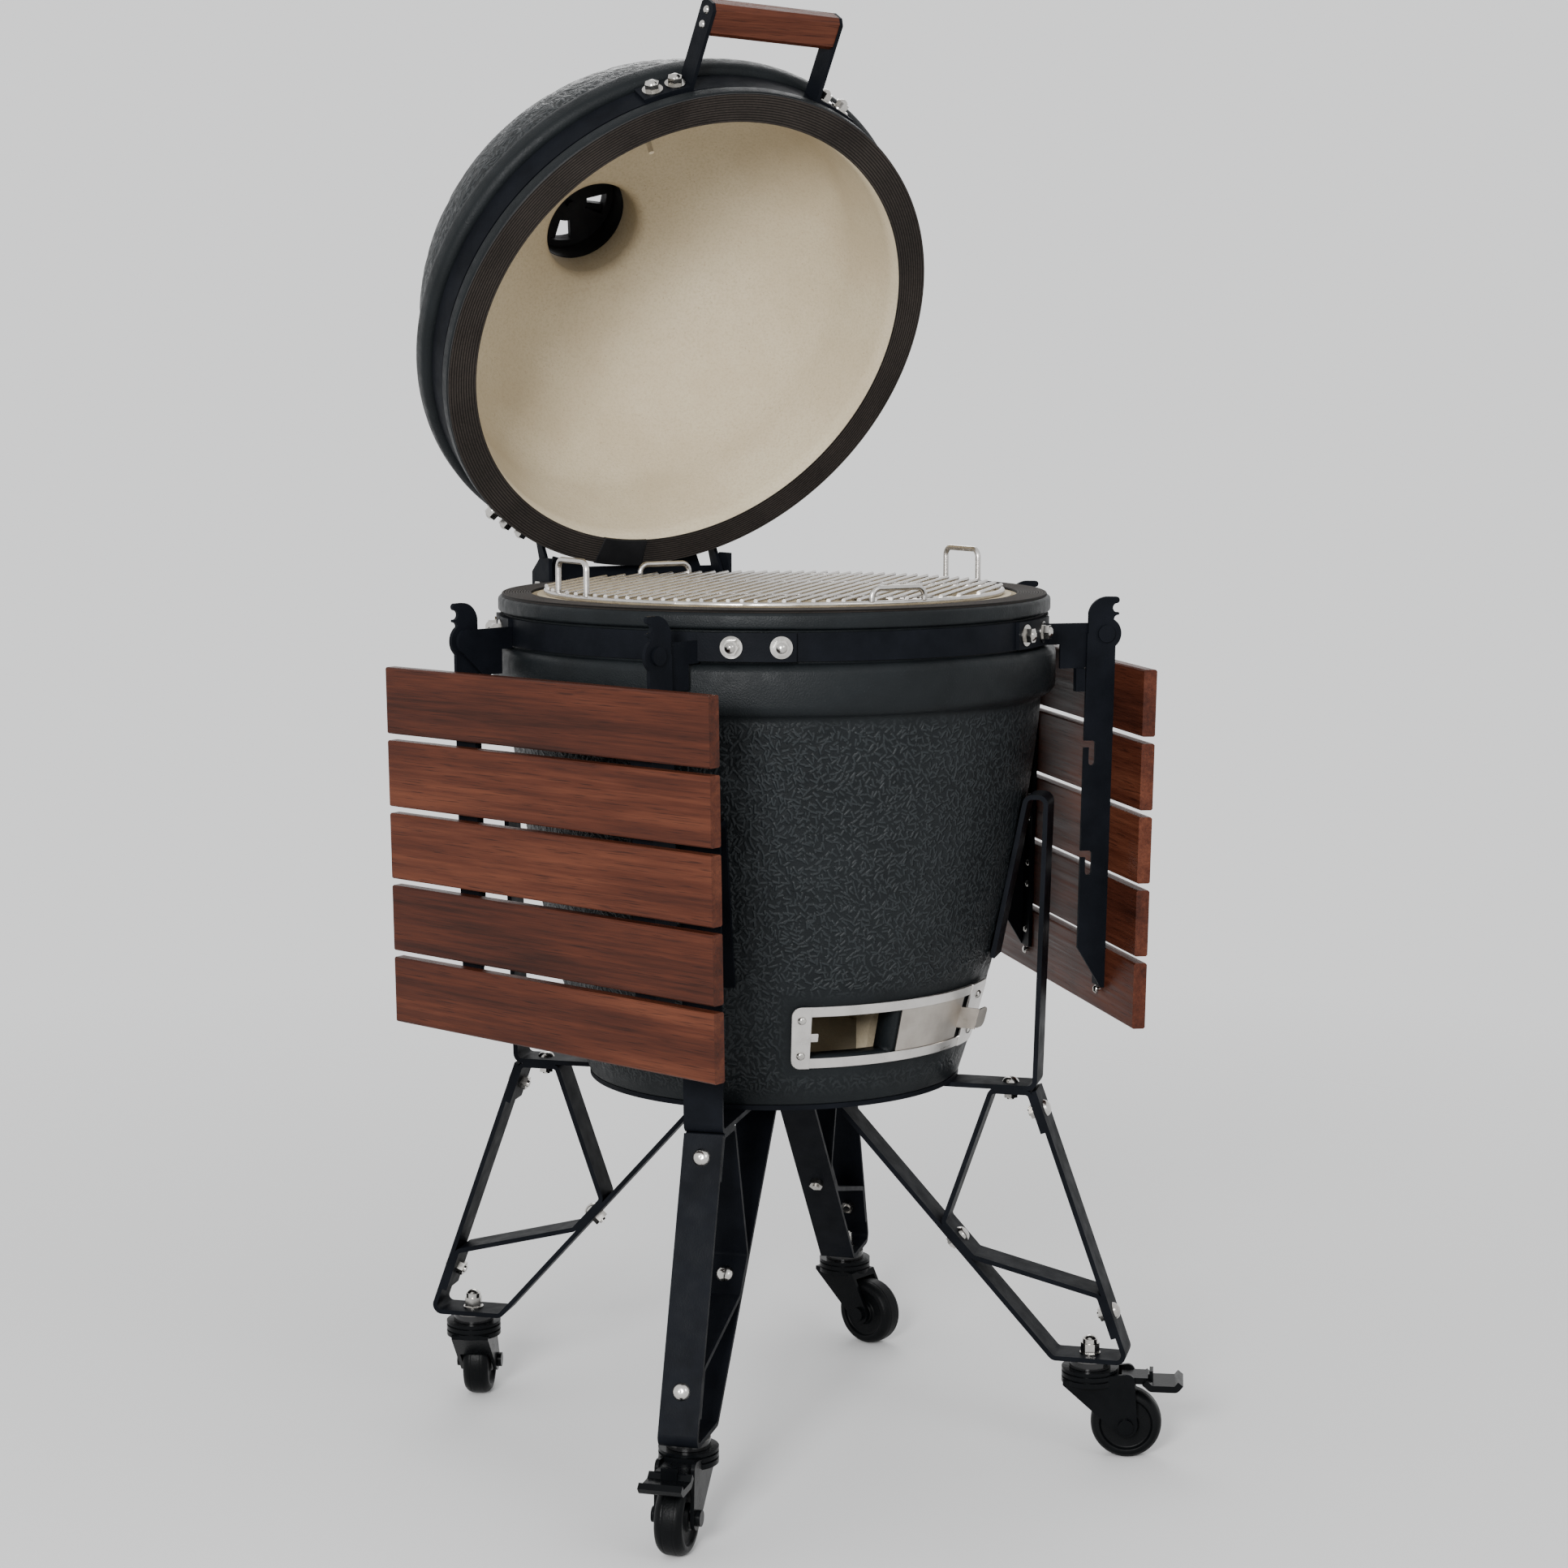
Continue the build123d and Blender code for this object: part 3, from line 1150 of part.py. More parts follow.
with BuildPart() as pedal:
    tread_z = PEDAL_PIVOT_Z - PEDAL_STEP
    with BuildSketch(Plane.XZ):
        with BuildLine():
            Polyline((PEDAL_BACK_X, PEDAL_PIVOT_Z), (PEDAL_STEP_X + PEDAL_T / 2, PEDAL_PIVOT_Z))
        trace(line_width=PEDAL_T)
    extrude(amount=CHEEK_IN - 1, both=True)
    with BuildSketch(Plane.XZ):
        with BuildLine():
            FilletPolyline(
                (PEDAL_STEP_X, PEDAL_PIVOT_Z),
                (PEDAL_STEP_X + PEDAL_T, tread_z),
                (PEDAL_TIP_X, tread_z),
                (PEDAL_OUT, tread_z + PEDAL_TIP_RISE),
                radius=PEDAL_T / 2,
            )
        trace(line_width=PEDAL_T)
    extrude(amount=PEDAL_W / 2, both=True)
    with Locations((PEDAL_STEP_X + PEDAL_T, 0, tread_z)):
        Box(PEDAL_FIN_T, CHEEK_IN, PEDAL_T + PEDAL_FIN_H, align=(Align.CENTER, Align.CENTER, Align.MIN))
    with Locations(Location((PEDAL_PIVOT_X, 0, PEDAL_PIVOT_Z), (90, 0, 0))):
        Cylinder(PEDAL_PIN_R, 2 * (CHEEK_IN + CHEEK_T))
for name, place in CASTER_PLACES.items():
    write(caster_fork(name in BRAKED), f"caster_fork_{name}", HOME * place)
    write(wheel.part, f"wheel_{name}", HOME * place * Location((TRAIL, 0, WHEEL_R)))
    if name in BRAKED:
        write(pedal.part, f"brake_pedal_{name}", HOME * place)

# Side tables: brackets on the band with pivot pins, arms with claws, slats and screws
PIN_HEAD_R = 9.0
PIN_HEAD_T = 3.0
STOP_W = 10.0
STOP_H = 24.0


def table_place(side, lean=0.0):
    """Place of a table's pivot line: x outward from the grill, y along the table."""
    origin = outward(side * TABLE_ANGLE) * PIVOT_N + Vector(0, 0, PIVOT_Z)
    return Location(origin, (0, 0, side * TABLE_ANGLE - 90)) * Location((0, 0, 0), (0, lean, 0))


def cross_plane(along):
    """Plane across a table, x outward and y up, at a distance along it."""
    return Plane(origin=(0, along, 0), x_dir=(1, 0, 0), z_dir=(0, -1, 0))


def table_bracket(side, end):
    """Plate that stands out from the band with its flange, pivot pin and stop."""
    sign = side * end
    root_x = sqrt(BAND_OUT_R**2 - (PLATE_S - BRACKET_T / 2) ** 2) - PIVOT_N + LID_GAP
    clear_x = sqrt(SHOULDER_R**2 - (PLATE_S - BRACKET_T / 2) ** 2) - PIVOT_N + BRACKET_CLEAR
    seat_z = SEAT_LOW_Z + 1 - PIVOT_Z
    stop_x = ARM_BACK_X - STOP_SET
    low_z = BRACKET_LOW_Z - PIVOT_Z
    with BuildPart() as plate:
        with BuildSketch(cross_plane(sign * PLATE_S)):
            with BuildLine():
                Polyline(
                    (root_x, BRACKET_TOP_Z - PIVOT_Z),
                    (0, BRACKET_TOP_Z - PIVOT_Z),
                    (PIN_HEAD_R, -PIN_HEAD_R),
                    (stop_x, low_z),
                    (clear_x, low_z),
                    (clear_x, seat_z),
                    (root_x, seat_z),
                    close=True,
                )
            make_face()
            Circle(PIN_HEAD_R + PIN_LAND)
        extrude(amount=BRACKET_T / 2, both=True)
        reach = ARM_T + 2 * BRACKET_GAP + BRACKET_T / 2
        middle = PLATE_S + reach / 2
        with Locations(Location((0, sign * middle, 0), (90, 0, 0))):
            Cylinder(PIVOT_R, reach)
        with Locations(Location((0, sign * (PLATE_S + reach + PIN_HEAD_T / 2), 0), (90, 0, 0))):
            Cylinder(PIN_HEAD_R, PIN_HEAD_T)
        stop_s = sign * (PLATE_S + reach / 2 - BRACKET_T / 4)
        with Locations((stop_x - STOP_W / 2, stop_s, low_z - STOP_H / 2)):
            Box(STOP_W, reach + BRACKET_T / 2, STOP_H)
    root = root_angle(side, end)
    start = root if sign > 0 else root - FLANGE_SWEEP
    with BuildPart() as piece:
        add(table_place(side) * plate.part)
        add(sector(start, FLANGE_SWEEP, ring_corners(BAND_OUT_R, FLANGE_R, BAND_LOW_Z, BAND_LOW_Z + BAND_H)))
        drill(BAND_NUTS)
    return piece.part


SLAT_TOPS = [SLAT_TOP_Z - row * SLAT_PITCH for row in range(SLAT_COUNT)]
SCREW_S = ARM_S - ARM_T / 2 - ARM_FLANGE_W / 2
FLANGE_X = SLAT_IN_X - ARM_T
TABLE_SCREWS = [
    Location((FLANGE_X, sign * SCREW_S, top - SLAT_H / 2 + step * SCREW_PAIR / 2), (0, -90, 0))
    for sign in (-1, 1)
    for top in SLAT_TOPS
    for step in (-1, 1)
]


def table_arm(sign):
    """Swinging arm of one plate: claw, pivot eye, hooked web and the flange screwed to the slats."""
    with BuildPart() as piece:
        with BuildSketch(cross_plane(sign * ARM_S)):
            with BuildLine():
                Polyline(
                    (SLAT_IN_X, 0),
                    (SLAT_IN_X, ARM_TIP_Z),
                    (FLANGE_X, ARM_TIP_Z),
                    (ARM_BACK_X, ARM_SHOULDER_Z),
                    (ARM_BACK_X, 0),
                    close=True,
                )
            make_face()
            Circle(ARM_DISC_R)
            with BuildLine():
                back, top, tip = ARM_BACK_X + 1, CLAW_TOP_Z, CLAW_TIP_X
                nose = tip - CLAW_TIP_T / 2
                tooth, tooth_top = tip - CLAW_TOOTH_H / 2, CLAW_TOOTH_Z + CLAW_TOOTH_H / 2
                tooth_low, notch = CLAW_TOOTH_Z - CLAW_TOOTH_H / 2, CLAW_TIP_X - CLAW_TIP_T
                Line((back, 0), (back, CLAW_BACK_Z))
                ThreePointArc((back, CLAW_BACK_Z), (back * CLAW_SIDE, top * CLAW_RISE), (0, top))
                Line((0, top), (nose, top))
                ThreePointArc((nose, top), (tip, top - CLAW_TIP_T / 2), (nose, top - CLAW_TIP_T))
                ThreePointArc((nose, top - CLAW_TIP_T), (notch, CLAW_NOTCH_Z), (tooth, tooth_top))
                ThreePointArc((tooth, tooth_top), (tip, CLAW_TOOTH_Z), (tooth, tooth_low))
                ThreePointArc(
                    (tooth, tooth_low),
                    (notch + CLAW_TOOTH_H / 2, (tooth_low + CLAW_HEEL_Z) / 2),
                    (tooth, CLAW_HEEL_Z),
                )
                Polyline((tooth, CLAW_HEEL_Z), (tip, 0), (back, 0))
            make_face()
            for hook in HOOK_TOPS:
                with Locations((ARM_BACK_X + HOOK_DEEP, hook - HOOK_TALL / 2)):
                    SlotOverall(HOOK_TALL, HOOK_SLOT * HOOK_DEEP, rotation=90, mode=Mode.SUBTRACT)
                with Locations((ARM_BACK_X + HOOK_DEEP / 2, hook - HOOK_DROP * HOOK_DEEP)):
                    Rectangle(HOOK_MOUTH * HOOK_DEEP, HOOK_SLOT * HOOK_DEEP, mode=Mode.SUBTRACT)
            Circle(PIVOT_R + RUNNING_GAP, mode=Mode.SUBTRACT)
        extrude(amount=ARM_T / 2, both=True)
        flange_high = SLAT_TOP_Z - 2 * ARM_T
        with Locations((SLAT_IN_X - ARM_T / 2, sign * SCREW_S, (flange_high + ARM_TIP_Z) / 2)):
            Box(ARM_T, ARM_FLANGE_W, flange_high - ARM_TIP_Z)
        with Locations(*TABLE_SCREWS):
            Cylinder(SCREW_R / 2 + HOLE_GAP, 4 * ARM_T, mode=Mode.SUBTRACT)
    return piece.part


def table_slats():
    """Five slats with eased edges, side by side with gaps."""
    with BuildPart() as piece:
        for top in SLAT_TOPS:
            with Locations((SLAT_IN_X + SLAT_T / 2, 0, top - SLAT_H / 2)):
                Box(SLAT_T, SLAT_LONG, SLAT_H)
        chamfer(piece.edges().filter_by(Axis.Y), SLAT_EASE)
    return piece.part


table_screw = screw(ARM_T)
for side_name, side in BRACKET_SIDES.items():
    hanging = HOME * table_place(side, TABLE_LEAN)
    write(table_slats(), f"{side_name}_table_slats", hanging)
    write(group(place * table_screw for place in TABLE_SCREWS), f"{side_name}_table_screws", hanging)
    for end_name, end in BRACKET_ENDS.items():
        write(table_bracket(side, end), f"{side_name}_{end_name}_bracket")
        write(table_arm(side * end), f"{side_name}_{end_name}_arm", hanging)
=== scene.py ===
import logging
from collections.abc import Callable, Iterable, Sequence
from dataclasses import dataclass, field, replace
from enum import Enum

import bmesh
import bpy
import numpy as np
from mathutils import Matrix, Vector


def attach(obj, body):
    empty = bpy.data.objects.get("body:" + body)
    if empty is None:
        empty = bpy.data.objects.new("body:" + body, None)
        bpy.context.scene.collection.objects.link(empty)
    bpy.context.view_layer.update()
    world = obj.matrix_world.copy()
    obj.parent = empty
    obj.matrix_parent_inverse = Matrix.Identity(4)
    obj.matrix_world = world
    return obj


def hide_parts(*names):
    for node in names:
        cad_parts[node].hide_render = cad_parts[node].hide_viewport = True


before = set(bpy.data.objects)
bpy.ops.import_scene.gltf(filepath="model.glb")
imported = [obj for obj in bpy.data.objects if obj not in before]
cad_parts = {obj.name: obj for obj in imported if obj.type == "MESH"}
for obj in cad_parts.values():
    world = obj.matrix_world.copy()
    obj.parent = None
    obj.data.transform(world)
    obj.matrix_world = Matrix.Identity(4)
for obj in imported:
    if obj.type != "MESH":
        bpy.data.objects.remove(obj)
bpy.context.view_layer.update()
LOG = logging.getLogger("kamado")

# Places shared by several pieces, in millimetres, in the grill's own frame with its axis at x = y = 0
MM = 0.001
AXIS_Y = -92.0
HINGE_Y = 308.0
HINGE_Z = 903.0
OPEN_ANGLE = 61.3
MOUTH_R = 256.0

# The classes below keep a piece's sizes in millimetres and degrees, and a finish's sizes in metres

# Angle of each leg from the front, and the way its caster points, in degrees
CASTERS = {
    "front_right": (45, 52),
    "rear_right": (135, 18),
    "rear_left": (225, 145),
    "front_left": (315, -46),
}

# Short names of the types in the hints
SOCKET = bpy.types.NodeSocket
MATERIAL = bpy.types.Material
PIECE = bpy.types.Object
PAIR = tuple[float, float]
TRIPLE = tuple[float, float, float]

# Shares of a stroke's half width and half length that have its full height
STROKE_CREST = 0.3
STROKE_BODY = 0.6

# Points closer than this are one point, and edges shorter than this go, in metres
MERGE = 1e-6
DEGENERATE = 1e-7


class Skin(Enum):
    """Which of a ceramic shell's finishes a stretch of its profile takes."""

    GLAZE = 0
    CLAY = 1


def home(points: np.ndarray) -> np.ndarray:
    """Carry points from the grill's own frame to the part's frame.

    Args:
        points: Array (n, 3) in millimetres.

    Returns:
        The moved points, still in millimetres.
    """
    return points + np.array([0.0, AXIS_Y, 0.0])


def opened(points: np.ndarray) -> np.ndarray:
    """Turn points of the closed lid open about the hinge pin, then carry them home.

    Args:
        points: Array (n, 3) in millimetres, as the lid lies when closed.

    Returns:
        The points of the open lid.
    """
    angle = np.radians(OPEN_ANGLE)
    y, z = points[:, 1] - HINGE_Y, points[:, 2] - HINGE_Z
    turned_y = y * np.cos(angle) + z * np.sin(angle) + HINGE_Y
    turned_z = z * np.cos(angle) - y * np.sin(angle) + HINGE_Z
    return home(np.column_stack([points[:, 0], turned_y, turned_z]))


def linked(name: str, data: bpy.types.ID) -> PIECE:
    """New object, linked into the scene.

    Args:
        name: Its name.
        data: Its mesh, light or camera.

    Returns:
        The object.
    """
    piece = bpy.data.objects.new(name, data)
    bpy.context.scene.collection.objects.link(piece)
    return piece


def mesh_piece(
    name: str,
    points: np.ndarray,
    faces: np.ndarray,
    body: str,
    slot: str,
    replaced: Sequence[str] = (),
    materials: Sequence[MATERIAL] = (),
    indices: np.ndarray | None = None,
    smooth: bool = True,
    marks: dict[str, np.ndarray] | None = None,
    crease: float | None = None,
) -> PIECE:
    """Make one finished piece from points and quads and let it ride on a body.

    Args:
        name: Name of the piece.
        points: Array (n, 3) in millimetres in the part's frame.
        faces: Array (m, 4) of corner indices.
        body: Body that carries the piece.
        slot: Material slot of the record; not used.
        replaced: Nodes that the piece stands for.
        materials: Materials of the piece.
        indices: Material index of each face, all 0 where it is left out.
        smooth: Whether the faces are shaded smooth.
        marks: Named values of the points, which the materials read.
        crease: Angle in degrees from which an edge is shaded sharp.

    Returns:
        The new object.
    """
    mesh = bpy.data.meshes.new(name)
    mesh.from_pydata((points * MM).tolist(), [], faces.tolist())
    for mark, values in (marks or {}).items():
        mesh.attributes.new(mark, "FLOAT", "POINT").data.foreach_set("value", values.astype(np.float32))
    for material in materials:
        mesh.materials.append(material)
    if indices is not None:
        mesh.polygons.foreach_set("material_index", indices.astype(np.int32))
    mesh.polygons.foreach_set("use_smooth", np.full(len(mesh.polygons), smooth))
    work = bmesh.new()
    work.from_mesh(mesh)
    bmesh.ops.remove_doubles(work, verts=work.verts, dist=MERGE)
    bmesh.ops.dissolve_degenerate(work, edges=work.edges, dist=DEGENERATE)
    bmesh.ops.recalc_face_normals(work, faces=work.faces)
    work.to_mesh(mesh)
    work.free()
    if crease is not None:
        mesh.set_sharp_from_angle(angle=np.radians(crease))
    piece = linked(name, mesh)
    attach(piece, body)
    if replaced:
        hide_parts(*replaced)
    LOG.info("%s: %d faces on %s", name, len(mesh.polygons), body)
    return piece


def grid_faces(rows: int, columns: int, wrap_rows: bool = False, wrap_columns: bool = True) -> np.ndarray:
    """Quads of a grid whose point (i, j) has index i * columns + j.

    Args:
        rows: Number of points down the grid.
        columns: Number of points across it.
        wrap_rows: Whether the last row joins the first.
        wrap_columns: Whether the last column joins the first.

    Returns:
        Array (m, 4), row by row.
    """
    i = np.arange(rows if wrap_rows else rows - 1)[:, None]
    j = np.arange(columns if wrap_columns else columns - 1)[None, :]
    i2, j2 = (i + 1) % rows, (j + 1) % columns
    corners = [i * columns + j, i * columns + j2, i2 * columns + j2, i2 * columns + j]
    return np.stack(np.broadcast_arrays(*corners), axis=-1).reshape(-1, 4)


def turned(profile: np.ndarray, angles: np.ndarray) -> np.ndarray:
    """Points of a profile of (radius, height) turned about z: x = r sin a, y = -r cos a.

    Args:
        profile: Array (n, 2), or (n, columns, 2) where the profile changes with the angle.
        angles: Angles from the front in radians.

    Returns:
        Array (n * columns, 3), profile point by profile point.
    """
    if profile.ndim == 2:
        profile = np.repeat(profile[:, None, :], len(angles), axis=1)
    radius, height = profile[..., 0], profile[..., 1]
    points = np.stack([radius * np.sin(angles), -radius * np.cos(angles), height], axis=-1)
    return points.reshape(-1, 3)


def full_turn(columns: int) -> np.ndarray:
    """Evenly spaced angles over a full turn, in radians."""
    return np.arange(columns) * 2 * np.pi / columns


def rounded(corners: Sequence[PAIR], radii: Sequence[float], steps: int = 3) -> np.ndarray:
    """Line through corners whose inner corners are arcs of given radii.

    Args:
        corners: Corner points (u, v).
        radii: Radius at each inner corner.
        steps: Points on each arc less one.

    Returns:
        Array (n, 2) of the points along the line.
    """
    path = [np.array(corners[0], dtype=float)[None]]
    for before, corner, after, radius in zip(corners, corners[1:], corners[2:], radii):
        at = np.array(corner, dtype=float)
        way_in, way_out = np.array(before) - at, np.array(after) - at
        way_in, way_out = way_in / np.linalg.norm(way_in), way_out / np.linalg.norm(way_out)
        half = np.arccos(np.clip(way_in @ way_out, -1, 1)) / 2
        middle = (way_in + way_out) / np.linalg.norm(way_in + way_out)
        centre = at + middle * radius / np.sin(half)
        first, last = at + way_in * radius / np.tan(half), at + way_out * radius / np.tan(half)
        share = np.linspace(0, 1, steps + 1)[:, None]
        chord = (first - centre) * (1 - share) + (last - centre) * share
        path.append(centre + radius * chord / np.linalg.norm(chord, axis=1, keepdims=True))
    path.append(np.array(corners[-1], dtype=float)[None])
    return np.concatenate(path)


def line(start: PAIR, end: PAIR, steps: int) -> np.ndarray:
    """Evenly spaced points from start to end."""
    return np.linspace(start, end, steps + 1)


@dataclass
class Tree:
    """Node tree of one material, built in short steps."""

    name: str
    material: MATERIAL = field(init=False)

    def __post_init__(self) -> None:
        """Start an empty material with a Principled shader."""
        self.material = bpy.data.materials.new(self.name)
        self.material.use_nodes = True
        self.nodes = self.material.node_tree.nodes
        self.shader = self.nodes["Principled BSDF"]

    def add(
        self, kind: str, feed: dict[str | int, object] | None = None, **settings: object
    ) -> bpy.types.Node:
        """Add a node of a kind, set its properties and feed its inputs.

        Args:
            kind: Type of the node.
            feed: Socket or plain value of each input, by name or number.
            settings: Properties of the node.

        Returns:
            The node.
        """
        node = self.nodes.new(kind)
        for key, value in settings.items():
            setattr(node, key, value)
        for key, value in (feed or {}).items():
            self.link(value, node.inputs[key])
        return node

    def link(self, source: SOCKET | float | Sequence[float], target: SOCKET) -> None:
        """Link a socket to an input, or set the input to a plain value.

        Args:
            source: Socket or value.
            target: Input.
        """
        if isinstance(source, SOCKET):
            self.material.node_tree.links.new(source, target)
        else:
            target.default_value = source

    def place(self, scale: Sequence[float] = (1, 1, 1), turn: Sequence[float] = (0, 0, 0)) -> SOCKET:
        """Object coordinates along turned axes, scaled along each of them.

        Args:
            scale: Factor along each turned axis.
            turn: Turn of the axes in degrees.

        Returns:
            The vector's socket.
        """
        where = self.add("ShaderNodeTexCoord").outputs["Object"]
        feed = {"Vector": where, "Rotation": np.radians(turn), "Scale": 1 / np.array(scale)}
        return self.add("ShaderNodeMapping", feed, vector_type="TEXTURE").outputs["Vector"]

    def noise(self, vector: SOCKET, scale: float, detail: float = 4.0, rough: float = 0.5) -> SOCKET:
        """Value of a noise texture.

        Args:
            vector: Where it is read.
            scale: Cells a metre.
            detail: Octaves.
            rough: Share of each finer octave.

        Returns:
            The value's socket.
        """
        feed = {"Vector": vector, "Scale": scale, "Detail": detail, "Roughness": rough}
        return self.add("ShaderNodeTexNoise", feed).outputs["Fac"]

    def cells(self, vector: SOCKET, scale: float) -> SOCKET:
        """Distance to the nearest point of a cell pattern."""
        return self.add("ShaderNodeTexVoronoi", {"Vector": vector, "Scale": scale}).outputs["Distance"]

    def mark(self, name: str) -> SOCKET:
        """Value that the mesh carries at its points under a name."""
        return self.add("ShaderNodeAttribute", attribute_name=name).outputs["Fac"]

    def vector(self, operation: str, first: SOCKET, second: SOCKET | Sequence[float]) -> SOCKET:
        """One step on two vectors; a dot product gives a value, any other step a vector."""
        node = self.add("ShaderNodeVectorMath", {0: first, 1: second}, operation=operation)
        return node.outputs["Value" if operation == "DOT_PRODUCT" else "Vector"]

    def flat(self, vector: SOCKET, normal: SOCKET) -> SOCKET:
        """Part of a vector that lies in the surface: v - n (n . v).

        Args:
            vector: The vector v.
            normal: The surface's normal n.

        Returns:
            The flat vector's socket.
        """
        feed = {0: normal, "Scale": self.vector("DOT_PRODUCT", vector, normal)}
        height = self.add("ShaderNodeVectorMath", feed, operation="SCALE").outputs["Vector"]
        return self.vector("SUBTRACT", vector, height)

    def strokes(self, where: SOCKET, scale: float, half_length: float, half_width: float) -> SOCKET:
        """Short raised strokes, one a cell: height falls with distance from a line through the cell's point.

        Args:
            where: Coordinates.
            scale: Cells a metre.
            half_length: Half a stroke's length in metres.
            half_width: Half its width in metres.

        Returns:
            Height from 0 to 1.
        """
        cell = self.add("ShaderNodeTexVoronoi", {"Vector": where, "Scale": scale})
        normal = self.add("ShaderNodeTexCoord").outputs["Normal"]
        offset = self.flat(self.vector("SUBTRACT", where, cell.outputs["Position"]), normal)
        spread = self.vector("SUBTRACT", cell.outputs["Color"], (0.5, 0.5, 0.5))
        way = self.vector("NORMALIZE", self.flat(spread, normal), (0, 0, 0))
        along = self.vector("DOT_PRODUCT", offset, way)
        squared = self.vector("DOT_PRODUCT", offset, offset)
        beside = self.math("SUBTRACT", squared, self.math("POWER", along, 2.0))
        beside = self.math("SQRT", self.math("MAXIMUM", beside, 0.0))
        tall = self.span(beside, (half_width, half_width * STROKE_CREST))
        whole = self.span(self.math("ABSOLUTE", along), (half_length, half_length * STROKE_BODY))
        return self.math("MULTIPLY", tall, whole)

    def ramp(self, value: SOCKET, *stops: tuple[float, Sequence[float]]) -> SOCKET:
        """Colour of a value through stops.

        Args:
            value: Where the ramp is read, from 0 to 1.
            stops: Position and linear colour of each stop.

        Returns:
            The colour's socket.
        """
        node = self.add("ShaderNodeValToRGB", {"Fac": value})
        elements = node.color_ramp.elements
        for index, (position, colour) in enumerate(stops):
            element = elements[index] if index < 2 else elements.new(position)
            element.position = position
            element.color = self.opaque(colour)
        return node.outputs["Color"]

    def span(self, value: SOCKET, start: PAIR, end: PAIR = (0.0, 1.0)) -> SOCKET:
        """Map a value from its range to another, clamped."""
        limits = dict(zip(("From Min", "From Max", "To Min", "To Max"), (*start, *end)))
        return self.add("ShaderNodeMapRange", {"Value": value, **limits}).outputs["Result"]

    def math(self, operation: str, first: SOCKET | float, second: SOCKET | float = 0.0) -> SOCKET:
        """One arithmetic step on two values."""
        return self.add("ShaderNodeMath", {0: first, 1: second}, operation=operation).outputs[0]

    @staticmethod
    def opaque(colour: SOCKET | Sequence[float]) -> SOCKET | Sequence[float]:
        """A socket as it is, or a plain colour with its full alpha."""
        return colour if isinstance(colour, SOCKET) else (*colour, 1.0)

    def mix(
        self, share: SOCKET, first: SOCKET | Sequence[float], second: SOCKET | Sequence[float]
    ) -> SOCKET:
        """Mix two colours by a share of the second; inputs 6 and 7 of the node are its colours."""
        feed = {"Factor": share, 6: self.opaque(first), 7: self.opaque(second)}
        return self.add("ShaderNodeMix", feed, data_type="RGBA").outputs[2]

    def bump(self, height: SOCKET, distance: float, strength: float, over: SOCKET | None = None) -> SOCKET:
        """Normal of a height field.

        Args:
            height: The field, from 0 to 1.
            distance: Height of 1 in metres.
            strength: Share of the effect.
            over: Normal that it lies over, where there is one.

        Returns:
            The normal's socket.
        """
        feed = {"Strength": strength, "Distance": distance, "Height": height}
        if over is not None:
            feed["Normal"] = over
        return self.add("ShaderNodeBump", feed).outputs["Normal"]

    def dress(self, **inputs: SOCKET | float | Sequence[float]) -> MATERIAL:
        """Feed the shader's inputs and hand over the material.

        Args:
            inputs: Socket or plain value of each input, named with _ for spaces.

        Returns:
            The finished material.
        """
        for key, value in inputs.items():
            target = self.shader.inputs[key.replace("_", " ")]
            self.link(self.opaque(value) if key.endswith("Color") else value, target)
        return self.material


@dataclass(frozen=True)
class Glaze:
    """Matt charcoal glaze: raised strokes where a mark allows them, their tops painted paler as a highlight
    and partly as a paler glaze, sandy grain, a few pale flecks.
    """

    name: str = "charcoal_glaze"
    low: TRIPLE = (0.0042, 0.0053, 0.006)
    high: TRIPLE = (0.0078, 0.0096, 0.0108)
    # Paler colour of the strokes' tops: painted highlight, partly a paler glaze on the crests
    crest: TRIPLE = (0.019, 0.0222, 0.024)
    fleck: TRIPLE = (0.03, 0.034, 0.036)
    stroke_scale: float = 112.0
    half_length: float = 0.005
    half_width: float = 0.0017
    relief: float = 0.0012
    second_at: TRIPLE = (0.31, 0.17, 0.53)
    second_scale: float = 1.13

    def material(self) -> MATERIAL:
        """Build the material.

        Returns:
            The material.
        """
        tree = Tree(self.name)
        where = tree.place()
        shifted = tree.vector("ADD", where, self.second_at)
        size = (self.half_length, self.half_width)
        first = tree.strokes(where, self.stroke_scale, *size)
        second = tree.strokes(shifted, self.stroke_scale * self.second_scale, *size)
        raised = tree.math("MULTIPLY", tree.math("MAXIMUM", first, second), tree.mark("stroked"))
        cloudy = tree.noise(where, scale=14, detail=5, rough=0.6)
        cloud = tree.ramp(cloudy, (0.3, self.low), (0.72, self.high))
        # Stroke tops mixed towards the paler crest colour: painted highlight, partly a paler glaze
        tone = tree.mix(tree.math("MULTIPLY", raised, 0.8), cloud, self.crest)
        specks = tree.span(tree.noise(where, scale=900, detail=2, rough=0.5), (0.7, 0.78))
        sandy = tree.noise(where, scale=620, detail=3, rough=0.6)
        grain = tree.bump(sandy, distance=0.0009, strength=0.5)
        rough = tree.span(tree.noise(where, scale=90, detail=3), (0.3, 0.7), (0.36, 0.52))
        return tree.dress(
            Base_Color=tree.mix(specks, tone, self.fleck),
            Roughness=tree.math("SUBTRACT", rough, tree.math("MULTIPLY", raised, 0.06)),
            Specular_IOR_Level=0.12,
            Normal=tree.bump(raised, self.relief, strength=0.8, over=grain),
        )


